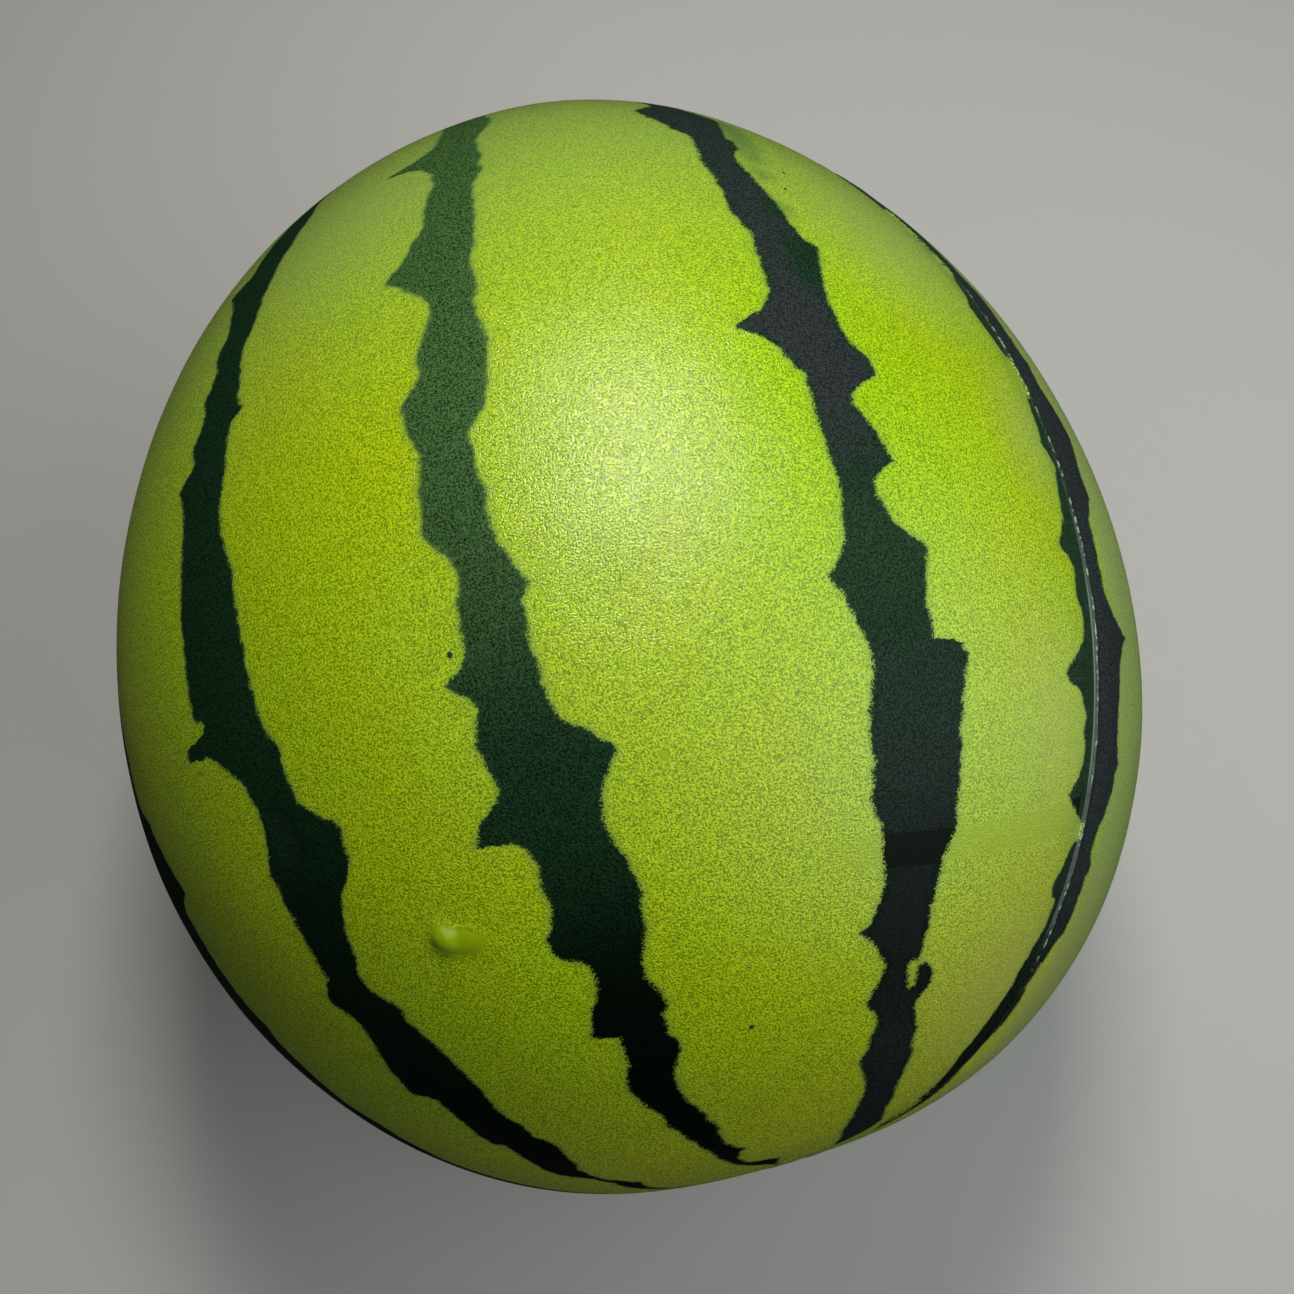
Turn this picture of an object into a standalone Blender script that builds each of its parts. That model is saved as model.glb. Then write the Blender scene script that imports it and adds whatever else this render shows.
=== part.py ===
"""An imitation watermelon: one moulded body that lies on its side.

The long axis runs along Y, with the narrow stem end at +Y and the blunt blossom end at -Y.
Up is +Z. The origin is at the bottom centre of the body's box, level with the small flat
spot that the body rests on. Lengths are metres and angles are degrees.

A place on the body is given by two angles: its polar angle, counted from the stem end at
0 to the blossom end at 180, and its turn about the long axis, counted from the top at 0
towards +X.
"""

import math
from typing import NamedTuple

import bmesh
import bpy
from mathutils import Matrix, Vector

NAME = "watermelon"

# The egg, which is turned about Y: how far it reaches, and how it leaves an ellipse
GIRTH_RADIUS = 0.1150
LENGTH_REACH = 0.1393
BLOSSOM_FULLNESS = 0.063
SHOULDER_FALL = 0.061
END_BLUNTNESS = 0.090

# The line where the two halves of the mould met: a raised bead in a shallow valley. Its plane
# is tilted a little from the long axis
SEAM_TURN = 50.0
SEAM_TILT = 2.1
BEAD_HEIGHT = 0.0006
BEAD_HALF_WIDTH = 0.0008
VALLEY_DEPTH = 0.0006
VALLEY_HALF_WIDTH = 0.0045

# The flat spot that the body rests on is a slice this deep off its underside
FLAT_DEPTH = 0.0015

# The mesh: steps round the seam, and rings beside it at these distances before even ones
ROUND_STEPS = 76
RINGS_BESIDE_SEAM = (0.0, 0.0007, 0.0015, 0.0030, 0.0060)
EVEN_RINGS = 17

# The skin, in the middle of its light green
SKIN_COLOUR = (0.33, 0.50, 0.03, 1.0)
SKIN_ROUGHNESS = 0.42
SHARP_ANGLE = 50.0


class Swell(NamedTuple):
    """A broad unevenness of the body, a swell or a hollow, that fades with its distance."""

    polar: float
    turn: float
    reach: float
    height: float


SWELLS = {
    "blossom end dimple": Swell(polar=176, turn=-4, reach=18, height=-0.0021),
    "near right swell": Swell(polar=148, turn=72, reach=26, height=0.0009),
    "near left hollow": Swell(polar=132, turn=-80, reach=24, height=-0.0016),
    "left swell": Swell(polar=88, turn=-72, reach=28, height=0.0005),
    "far shoulder swell": Swell(polar=38, turn=20, reach=20, height=0.0015),
}


def direction_of(polar, turn):
    """The unit vector from the body's middle at this polar angle and turn."""
    polar, turn = math.radians(polar), math.radians(turn)
    side = math.sin(polar)
    return Vector((side * math.sin(turn), math.cos(polar), side * math.cos(turn)))


def egg_point(direction):
    """The point of the plain egg in this direction's polar angle and turn."""
    along = direction.y
    fullness = 1 - BLOSSOM_FULLNESS * along - SHOULDER_FALL * along**2
    outward = GIRTH_RADIUS * fullness
    reach = LENGTH_REACH * (1 - END_BLUNTNESS * along**2)
    return Vector((outward * direction.x, reach * along, outward * direction.z))


def swell_height(direction):
    """How far all the swells together lift the body in this direction."""
    height = 0.0
    for swell in SWELLS.values():
        away = direction.angle(direction_of(swell.polar, swell.turn), 0.0)
        height += swell.height * math.exp(-((away / math.radians(swell.reach)) ** 2))
    return height


def seam_height(distance):
    """How far the bead and its valley lift the body at this distance from the seam."""
    bead = BEAD_HEIGHT * math.exp(-((distance / BEAD_HALF_WIDTH) ** 2))
    valley = VALLEY_DEPTH * math.exp(-((distance / VALLEY_HALF_WIDTH) ** 2))
    return bead - valley


def body_point(direction, seam_normal):
    """The point of the finished body in this direction from its middle."""
    point = egg_point(direction)
    from_seam = GIRTH_RADIUS * direction.dot(seam_normal)
    lift = swell_height(direction) + seam_height(from_seam)
    return point * (1 + lift / point.length)


def ring_angle(ring):
    """The angle from the seam's plane of a ring, counted from 0 at the seam itself."""
    last_beside = len(RINGS_BESIDE_SEAM) - 1
    if ring <= last_beside:
        return math.asin(RINGS_BESIDE_SEAM[ring] / GIRTH_RADIUS)
    first = ring_angle(last_beside)
    return first + (math.pi / 2 - first) * (ring - last_beside) / EVEN_RINGS


def untilted_seam(in_seam):
    """Turns the sphere's axes so that its equator runs along the body and through in_seam."""
    long_axis = Vector((0, 1, 0))
    return Matrix((long_axis, in_seam, long_axis.cross(in_seam))).transposed()


def make_body_mesh():
    """A sphere, whose equator is the seam and whose rings crowd there, pressed into shape."""
    half_rings = len(RINGS_BESIDE_SEAM) - 1 + EVEN_RINGS
    bm = bmesh.new()
    bmesh.ops.create_uvsphere(bm, u_segments=ROUND_STEPS, v_segments=2 * half_rings, radius=1.0)

    in_seam = direction_of(90, SEAM_TURN)
    to_body = Matrix.Rotation(math.radians(-SEAM_TILT), 3, in_seam) @ untilted_seam(in_seam)
    seam_normal = to_body.col[2]

    for vert in bm.verts:
        flat = Vector((vert.co.x, vert.co.y, 0))
        rise = math.atan2(vert.co.z, flat.length)
        ring = round(abs(rise) / (math.pi / 2) * half_rings)
        angle = math.copysign(ring_angle(ring), rise)
        across = flat.normalized() * math.cos(angle) if ring < half_rings else Vector()
        direction = to_body @ (across + Vector((0, 0, math.sin(angle))))
        vert.co = body_point(direction, seam_normal)
    return bm


def cut_flat_spot(bm):
    """Slices the underside off level and closes the cut with one flat face."""
    floor = min(vert.co.z for vert in bm.verts) + FLAT_DEPTH
    everything = bm.verts[:] + bm.edges[:] + bm.faces[:]
    cut = bmesh.ops.bisect_plane(
        bm, geom=everything, plane_co=(0, 0, floor), plane_no=(0, 0, -1), clear_outer=True
    )
    rim = [item for item in cut["geom_cut"] if isinstance(item, bmesh.types.BMEdge)]
    bmesh.ops.edgenet_fill(bm, edges=rim)
    bmesh.ops.recalc_face_normals(bm, faces=bm.faces[:])


def put_origin_under_middle(bm):
    """Moves the body so that the bottom centre of its box is at the origin."""
    corners = [[function(vert.co[axis] for vert in bm.verts) for axis in range(3)]
               for function in (min, max)]
    low, high = (Vector(corner) for corner in corners)
    bottom_centre = Vector(((low.x + high.x) / 2, (low.y + high.y) / 2, low.z))
    bmesh.ops.translate(bm, verts=bm.verts[:], vec=-bottom_centre)


def skin_material():
    """The moulded skin's green."""
    material = bpy.data.materials.new("skin")
    material.use_nodes = True
    shader = material.node_tree.nodes["Principled BSDF"]
    shader.inputs["Base Color"].default_value = SKIN_COLOUR
    shader.inputs["Roughness"].default_value = SKIN_ROUGHNESS
    shader.inputs["Metallic"].default_value = 0.0
    return material


def clear_scene():
    """Removes the objects that the file opened with."""
    for obj in list(bpy.data.objects):
        bpy.data.objects.remove(obj, do_unlink=True)


def main():
    """Builds the melon into a collection of its own."""
    clear_scene()
    collection = bpy.data.collections.new(NAME)
    bpy.context.scene.collection.children.link(collection)

    bm = make_body_mesh()
    cut_flat_spot(bm)
    put_origin_under_middle(bm)
    mesh = bpy.data.meshes.new(NAME)
    bm.to_mesh(mesh)
    bm.free()
    mesh.shade_smooth()
    mesh.set_sharp_from_angle(angle=math.radians(SHARP_ANGLE))
    mesh.materials.append(skin_material())

    collection.objects.link(bpy.data.objects.new(NAME, mesh))


main()
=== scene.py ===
"""The looks of an imitation watermelon: its grained skin, its sprayed stripes and its studio.

The melon lies on its side. Its long axis runs along Y with the narrow stem end at +Y, and up is
+Z. Lengths are metres and angles are degrees unless a name says otherwise.

A place on the melon is given by its polar angle, counted from the stem end at 0 to the blossom
end at 180, and by its turn about the long axis, counted from the top at 0 towards +X.
"""

from __future__ import annotations

import logging
import math
from dataclasses import dataclass, field
from enum import Enum

import bpy
import numpy as np
from mathutils import Matrix, Vector

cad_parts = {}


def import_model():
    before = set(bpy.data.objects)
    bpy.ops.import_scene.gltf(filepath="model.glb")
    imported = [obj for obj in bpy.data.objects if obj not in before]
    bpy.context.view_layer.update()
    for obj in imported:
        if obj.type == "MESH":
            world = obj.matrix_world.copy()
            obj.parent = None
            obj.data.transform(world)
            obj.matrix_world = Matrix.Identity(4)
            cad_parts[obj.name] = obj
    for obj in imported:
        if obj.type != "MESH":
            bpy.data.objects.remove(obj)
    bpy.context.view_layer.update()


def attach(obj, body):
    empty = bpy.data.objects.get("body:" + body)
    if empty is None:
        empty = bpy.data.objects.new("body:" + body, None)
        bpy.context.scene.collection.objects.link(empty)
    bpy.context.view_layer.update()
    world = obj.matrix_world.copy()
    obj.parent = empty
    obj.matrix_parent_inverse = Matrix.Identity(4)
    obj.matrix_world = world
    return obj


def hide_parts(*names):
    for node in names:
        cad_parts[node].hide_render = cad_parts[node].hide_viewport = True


LOG = logging.getLogger("watermelon")

Pair = tuple[float, float]
Colour = tuple[float, float, float]

CAD_NODE = "watermelon"
SKIN_SLOT = "skin"
DIRECTION_NAME = "direction"
MM = 0.001
DEGREES_IN_RADIAN = 180 / math.pi
HALF_TURN = 180.0
CURVES_PER_NODE = 3

# The stripes were read as longitudes about the long axis, which start elsewhere than the turn
LONGITUDE_TO_TURN = 85.6


def direction_of(polar: float, turn: float) -> np.ndarray:
    """The unit vector from the melon's middle at a polar angle and turn.

    Args:
        polar: The angle from the stem end.
        turn: The angle about the long axis, from the top.

    Returns:
        (sin polar sin turn, cos polar, sin polar cos turn).
    """
    polar, turn = math.radians(polar), math.radians(turn)
    side = math.sin(polar)
    return np.array((side * math.sin(turn), math.cos(polar), side * math.cos(turn)))


class Mode(Enum):
    """The Math and Vector Math operations that the materials use."""

    ADD = "ADD"
    SUBTRACT = "SUBTRACT"
    MULTIPLY = "MULTIPLY"
    DIVIDE = "DIVIDE"
    MINIMUM = "MINIMUM"
    MAXIMUM = "MAXIMUM"


class Signal:
    """A node socket, on which Python's operators add Math or Vector Math nodes."""

    def __init__(self, graph: Graph, socket: bpy.types.NodeSocket) -> None:
        """Wraps a socket of the graph."""
        self.graph = graph
        self.socket = socket

    def is_vector(self) -> bool:
        """Whether the socket carries three numbers, as a vector or a colour."""
        return self.socket.type in ("VECTOR", "RGBA")

    def __add__(self, other: Signal | float) -> Signal:
        """This plus the other."""
        return self.graph.combine(Mode.ADD, self, other)

    def __radd__(self, other: Signal | float) -> Signal:
        """The other plus this."""
        return self.graph.combine(Mode.ADD, other, self)

    def __sub__(self, other: Signal | float) -> Signal:
        """This less the other."""
        return self.graph.combine(Mode.SUBTRACT, self, other)

    def __rsub__(self, other: Signal | float) -> Signal:
        """The other less this."""
        return self.graph.combine(Mode.SUBTRACT, other, self)

    def __mul__(self, other: Signal | float) -> Signal:
        """This times the other."""
        return self.graph.combine(Mode.MULTIPLY, self, other)

    def __rmul__(self, other: Signal | float) -> Signal:
        """The other times this."""
        return self.graph.combine(Mode.MULTIPLY, other, self)

    def __truediv__(self, other: Signal | float) -> Signal:
        """This divided by the other."""
        return self.graph.combine(Mode.DIVIDE, self, other)

    def __rtruediv__(self, other: Signal | float) -> Signal:
        """The other divided by this."""
        return self.graph.combine(Mode.DIVIDE, other, self)


class Graph:
    """Builds the nodes of one material."""

    def __init__(self, material: bpy.types.Material) -> None:
        """Starts with the material's own empty node tree.

        Args:
            material: The material.
        """
        material.use_nodes = True
        self.tree = material.node_tree
        self.tree.nodes.clear()

    def node(
        self,
        kind: str,
        settings: dict[str, object] | None = None,
        inputs: dict[int | str, object] | None = None,
    ) -> bpy.types.Node:
        """Adds a node.

        Args:
            kind: The node's type.
            settings: Its properties, or "curves" with the points of each curve, set first.
            inputs: For sockets by name or place, a Signal to link or a value to set.

        Returns:
            The new node.
        """
        node = self.tree.nodes.new(kind)
        for name, value in (settings or {}).items():
            if name == "curves":
                self.draw_curves(node, value)
            else:
                setattr(node, name, value)
        for key, value in (inputs or {}).items():
            self.feed(node.inputs[key], value)
        return node

    def draw_curves(self, node: bpy.types.Node, curves: tuple[tuple[Pair, ...], ...]) -> None:
        """Puts straight-sided curves into a Vector Curves node.

        Args:
            node: The node.
            curves: Up to three curves, each a row of pairs that goes from 0 to 1 across.
        """
        for curve, points in zip(node.mapping.curves, curves):
            first, *middle, last = points
            for point, (across, height) in zip((curve.points[0], curve.points[-1]), (first, last)):
                point.location = (across, height)
            for across, height in middle:
                curve.points.new(across, height)
            for point in curve.points:
                point.handle_type = "VECTOR"
        node.mapping.update()

    def feed(self, socket: bpy.types.NodeSocket, value: Signal | float | Colour) -> None:
        """Links a Signal to a socket or sets the socket's own value.

        Args:
            socket: The socket.
            value: The Signal or the value, of which a plain number fills a whole vector.
        """
        if isinstance(value, Signal):
            self.tree.links.new(value.socket, socket)
            return
        if socket.type == "RGBA" and len(value) == 3:
            value = (*value, 1.0)
        if socket.type == "VECTOR" and isinstance(value, (int, float)):
            value = (value, value, value)
        socket.default_value = value

    def signal(self, node: bpy.types.Node, output: int | str = 0) -> Signal:
        """One of a node's outputs as a Signal."""
        return Signal(self, node.outputs[output])

    def combine(self, mode: Mode, first: Signal | float, second: Signal | float) -> Signal:
        """Adds a Math node for numbers, or a Vector Math node if either side is a vector.

        Args:
            mode: The operation.
            first: Its first operand.
            second: Its second operand.

        Returns:
            The result.
        """
        vectors = any(isinstance(side, Signal) and side.is_vector() for side in (first, second))
        kind = "ShaderNodeVectorMath" if vectors else "ShaderNodeMath"
        return self.signal(self.node(kind, {"operation": mode.value}, {0: first, 1: second}))

    def function(self, operation: str, *values: Signal | float) -> Signal:
        """Adds a Math node such as SQRT or ARCTAN2."""
        inputs = dict(enumerate(values))
        return self.signal(self.node("ShaderNodeMath", {"operation": operation}, inputs))

    def vector_function(self, operation: str, *values: Signal | Colour, output: str) -> Signal:
        """Adds a Vector Math node such as DOT_PRODUCT.

        Args:
            operation: The operation.
            values: Its operands.
            output: The name of the output to read.

        Returns:
            The result.
        """
        inputs = dict(enumerate(values))
        node = self.node("ShaderNodeVectorMath", {"operation": operation}, inputs)
        return self.signal(node, output)

    def step(self, value: Signal, low: float, high: float) -> Signal:
        """Rises smoothly from 0 to 1.

        Args:
            value: What it rises over.
            low: Where it is still 0.
            high: Where it is 1, which may be less than low.

        Returns:
            The step, 0 to 1.
        """
        rising = high > low
        ends = (low, high) if rising else (high, low)
        to = (0.0, 1.0) if rising else (1.0, 0.0)
        inputs = {
            "Value": value,
            "From Min": ends[0],
            "From Max": ends[1],
            "To Min": to[0],
            "To Max": to[1],
        }
        return self.signal(
            self.node("ShaderNodeMapRange", {"interpolation_type": "SMOOTHSTEP"}, inputs)
        )

    def mix(self, share: Signal | float, first: Signal | Colour, second: Signal | Colour) -> Signal:
        """The first colour, turning into the second as share goes from 0 to 1."""
        inputs = {0: share, 6: first, 7: second}
        return self.signal(self.node("ShaderNodeMix", {"data_type": "RGBA"}, inputs), 2)

    def mix_numbers(self, share: Signal, first: Signal | float, second: Signal | float) -> Signal:
        """The first number, turning into the second as share goes from 0 to 1."""
        inputs = {0: share, 2: first, 3: second}
        return self.signal(self.node("ShaderNodeMix", {"data_type": "FLOAT"}, inputs), 0)

    def mix_vectors(self, share: Signal, first: Signal, second: Signal) -> Signal:
        """The first vector, turning into the second as share goes from 0 to 1."""
        inputs = {0: share, 4: first, 5: second}
        return self.signal(self.node("ShaderNodeMix", {"data_type": "VECTOR"}, inputs), 1)

    def noise(
        self,
        place: Signal,
        period: float,
        detail: float = 2.0,
        roughness: float = 0.5,
        distortion: float = 0.0,
        output: str = "Fac",
    ) -> Signal:
        """Adds a Noise Texture.

        Args:
            place: Where the texture is read.
            period: About how far apart its lumps are, in metres.
            detail: How many finer layers it has.
            roughness: How strong the finer layers are.
            distortion: How much the lumps are bent.
            output: "Fac" for one number or "Color" for three.

        Returns:
            The texture's value, 0 to 1 about 0.5.
        """
        inputs = {
            "Vector": place,
            "Scale": 1.0 / period,
            "Detail": detail,
            "Roughness": roughness,
            "Distortion": distortion,
        }
        return self.signal(self.node("ShaderNodeTexNoise", None, inputs), output)


@dataclass(frozen=True)
class Swell:
    """A broad unevenness of the body, a swell or a hollow, that fades with its distance."""

    polar: float
    turn: float
    reach: float
    height: float


@dataclass(frozen=True)
class Spot:
    """A small raised or sunken ellipse of the moulding, with half sizes in mm.

    Its length runs across the long axis, turned by the slant towards the blossom end. A crisp
    one has steep sides and a smooth glossy top.
    """

    polar: float
    turn: float
    half_length: float
    half_width: float
    height: float
    slant: float = 0.0
    crisp: bool = False

    def axes(self) -> np.ndarray:
        """The spot's own axes.

        Returns:
            Rows: the unit vectors along its length, along its width and out of it.
        """
        centre = direction_of(self.polar, self.turn)
        down = direction_of(self.polar + 90, self.turn)
        across = np.cross(centre, down)
        slant = math.radians(self.slant)
        length = across * math.cos(slant) + down * math.sin(slant)
        return np.array((length, np.cross(centre, length), centre))


@dataclass(frozen=True)
class Egg:
    """The melon's body, as the part's source has it: an egg turned about Y with broad swells."""

    girth_radius: float = 0.1150
    length_reach: float = 0.1393
    blossom_fullness: float = 0.063
    shoulder_fall: float = 0.061
    end_bluntness: float = 0.090
    flat_depth: float = 0.0015
    swells: tuple[Swell, ...] = (
        Swell(polar=176, turn=-4, reach=18, height=-0.0021),
        Swell(polar=148, turn=72, reach=26, height=0.0009),
        Swell(polar=132, turn=-80, reach=24, height=-0.0016),
        Swell(polar=88, turn=-72, reach=28, height=0.0005),
        Swell(polar=38, turn=20, reach=20, height=0.0015),
    )
    unevenness: float = 0.00006
    uneven_waves: int = 24
    uneven_counts: Pair = (8, 30)
    uneven_seed: int = 5

    def points(self, direction: np.ndarray) -> np.ndarray:
        """The plain egg's points.

        Args:
            direction: Unit vectors, one per row.

        Returns:
            With a for a direction's y: x and z scaled by girth radius times
            (1 - fullness a - fall a^2), and y as length reach times a (1 - bluntness a^2).
        """
        along = direction[:, 1:2]
        outward = self.girth_radius * (
            1 - self.blossom_fullness * along - self.shoulder_fall * along**2
        )
        reach = self.length_reach * (1 - self.end_bluntness * along**2)
        return direction * np.hstack((outward, reach, outward))

    def swell_height(self, direction: np.ndarray) -> np.ndarray:
        """How far the broad swells lift the skin.

        Args:
            direction: Unit vectors, one per row.

        Returns:
            The sum of each swell's height times exp(-(angle from it / its reach)^2).
        """
        height = np.zeros(len(direction))
        for swell in self.swells:
            toward = direction @ direction_of(swell.polar, swell.turn)
            away = np.degrees(np.arccos(np.clip(toward, -1, 1)))
            height += swell.height * np.exp(-((away / swell.reach) ** 2))
        return height

    def waves(self, direction: np.ndarray) -> np.ndarray:
        """The skin's slight unevenness.

        Args:
            direction: Unit vectors, one per row.

        Returns:
            A sum of sine waves over the direction's part along seeded aims.
        """
        chance = np.random.default_rng(self.uneven_seed)
        aims = chance.normal(size=(self.uneven_waves, 3))
        aims /= np.linalg.norm(aims, axis=1, keepdims=True)
        counts = chance.uniform(*self.uneven_counts, self.uneven_waves)
        starts = chance.uniform(0, 2 * np.pi, self.uneven_waves)
        phases = (direction @ aims.T) * counts + starts
        return self.unevenness * np.sin(phases).sum(axis=1) / math.sqrt(self.uneven_waves)


@dataclass(frozen=True)
class PartingLine:
    """The line where the mould's halves met: a raised bead in a shallow valley."""

    turn: float = 50.0
    tilt: float = 2.1
    bead_height: float = 0.0006
    bead_half_width: float = 0.0009
    valley_depth: float = 0.0006
    valley_half_width: float = 0.0045
    ripple: float = 0.10
    ripple_counts: tuple[int, ...] = (37, 61, 97, 131)
    ripple_seed: int = 3

    def axes(self) -> np.ndarray:
        """The line's own axes.

        Returns:
            Rows: the tilted long axis, the way to the line's middle, and its plane's normal.
        """
        long_axis = np.array((0.0, 1.0, 0.0))
        middle = direction_of(90, self.turn)
        normal = np.cross(long_axis, middle)
        tilt = math.radians(self.tilt)
        axis = long_axis * math.cos(tilt) + normal * math.sin(tilt)
        return np.array((axis, middle, normal * math.cos(tilt) - long_axis * math.sin(tilt)))

    def height(self, distance: np.ndarray, round_angle: np.ndarray) -> np.ndarray:
        """How far the bead and valley lift the skin.

        Args:
            distance: From the line, in metres.
            round_angle: How far round the line, in radians.

        Returns:
            Bead height, a little rippled along the line, times exp(-(distance / half width)^4),
            which is flat on top, less valley depth times exp(-(distance / half width)^2).
        """
        chance = np.random.default_rng(self.ripple_seed)
        starts = chance.uniform(0, 2 * np.pi, len(self.ripple_counts))
        counts = np.array(self.ripple_counts)
        waves = np.sin(round_angle[:, None] * counts + starts).sum(axis=1)
        uneven = 1 + self.ripple * waves / math.sqrt(len(counts))
        bead = self.bead_height * uneven * np.exp(-((distance / self.bead_half_width) ** 4))
        valley = self.valley_depth * np.exp(-((distance / self.valley_half_width) ** 2))
        return bead - valley


NO_CHARCOAL = ((0, 0.0), (180, 0.0))


@dataclass(frozen=True)
class Stripe:
    """One dark stripe: its two edges and how the paint changes along it.

    Each edge is read as pairs of polar angle and longitude. Shade pairs are polar angle and how
    dark the paint is: 0 bottle green, 0.5 dark green, 1 black. Charcoal pairs are polar angle
    and how much charcoal overspray lies on the green, 0 to 1.
    """

    left: tuple[Pair, ...]
    right: tuple[Pair, ...]
    shade: tuple[Pair, ...]
    charcoal: tuple[Pair, ...] = NO_CHARCOAL


FAR_LEFT_STRIPE = Stripe(
    left=(
        (12, -151), (30, -161), (60, -163), (75, -165.5), (79, -162), (95, -163.5), (108, -162),
        (113, -165), (116, -162), (130, -163), (141, -165), (144, -162.5), (158, -164), (170, -160),
    ),
    right=(
        (12, -151), (30, -153), (45, -154.5), (60, -156), (72, -154), (73.5, -152.8), (75, -156.4),
        (88, -156), (94, -155.3), (97, -155.8), (98.5, -155.5), (99.5, -154.5), (100.5, -152.8),
        (101.5, -152.6), (103, -152), (105, -151), (106.5, -150.3), (107.8, -149.6),
        (108.1, -152.5), (109, -153.6), (111, -154), (113, -154.3), (116, -154.6),
        (119, -154.5), (120.5, -154), (121.8, -153.8), (123, -155), (125, -155.3),
        (128, -155.9), (130.5, -156.8), (132, -157.5), (133.5, -157), (135, -156.5),
        (136.5, -156), (138, -157), (142, -157.5), (143, -159), (152, -157.5), (160, -158),
        (170, -160),
    ),
    shade=((0, 0.7), (110, 0.75), (180, 0.9)),
)

LEFT_STRIPE = Stripe(
    left=(
        (13, -119), (28, -120.5), (38, -121), (44, -122), (47, -124.5), (50, -126),
        (55.5, -126.3), (56.5, -130.2), (58, -128.8), (60, -127.2), (62.5, -126.2),
        (64.5, -125.9), (66, -127), (67, -126.8), (68.5, -126.2), (70, -127), (71, -127.8),
        (72.5, -127.2), (74, -127.8), (75.2, -129), (77, -128.4), (78.2, -131.2),
        (79.5, -130.6), (81, -130.2), (84, -130.6), (87, -131.3), (89.3, -132), (92, -132.2),
        (95, -132.8), (97, -133), (98.3, -131.1), (98.9, -135.6), (99.4, -135.9),
        (99.9, -135.5), (100.2, -133), (101, -131.2), (102.5, -129.8), (104, -128.5),
        (106, -128.1), (108, -128.5), (109.5, -129.2), (110.8, -130.6), (111.8, -130),
        (113, -130.4), (115, -130.5), (118, -130.7), (120.5, -131.3), (121.2, -132.6),
        (122.2, -133.5), (123, -132.6), (125, -131.6), (127, -132.2), (129.5, -133.4),
        (132, -134.5), (133.8, -134.9), (134.2, -133.2), (135, -131.9), (136, -132),
        (138.5, -132.7), (141, -133.5), (142.8, -133.8), (143.4, -132.2), (144.5, -132.3),
        (147, -133.5), (149.5, -134.6), (151.5, -135), (153, -132.5), (155, -131),
        (157, -131.3), (159, -133.5), (160.5, -135), (165, -137), (170, -138),
    ),
    right=(
        (13, -119), (28, -118), (38, -118), (45, -118.5), (47, -118.2), (49, -117.5),
        (51, -117.6), (53, -118.3), (55, -118.5), (57, -119.5), (60, -119.7), (62, -120.4),
        (64, -120.3), (66, -120.9), (67.5, -121.9), (70, -121.7), (72, -121.3), (73, -121.7),
        (74.2, -121.1), (74.7, -120.2), (75.3, -122.3), (77, -122.9), (80, -123.2),
        (81.3, -123.8), (83, -124.1), (85, -124.2), (86.5, -123.7), (88, -123.1),
        (90, -123.4), (93, -123.5), (96, -123.7), (99.5, -123.8), (101, -123.5),
        (102.5, -122.4), (103.5, -123), (105, -122.9), (107, -122.6), (108.3, -121.1),
        (109, -120), (109.8, -119.1), (111, -119.7), (112.3, -119.8), (113.2, -120.7),
        (114.5, -122.7), (116, -123.9), (118, -124.9), (119.5, -125.3), (121, -126.5),
        (122.5, -126.4), (123.5, -125.7), (124.8, -124.3), (126.5, -124.6), (129, -123.9),
        (131, -123.3), (133, -123.5), (135.5, -123.2), (137.2, -124), (138, -124.6),
        (140, -124.5), (141, -123.6), (143, -124.6), (144.8, -123.2), (146.5, -123.8),
        (148, -125), (149.5, -126), (151, -128.3), (153, -129.2), (154.5, -129.8),
        (156, -128.8), (158, -127), (158.6, -125.4), (159.5, -127.5), (161, -130.5),
        (165, -134), (170, -138),
    ),
    shade=((0, 0.55), (100, 0.58), (115, 0.78), (150, 0.95), (180, 1.0)),
)

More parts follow.
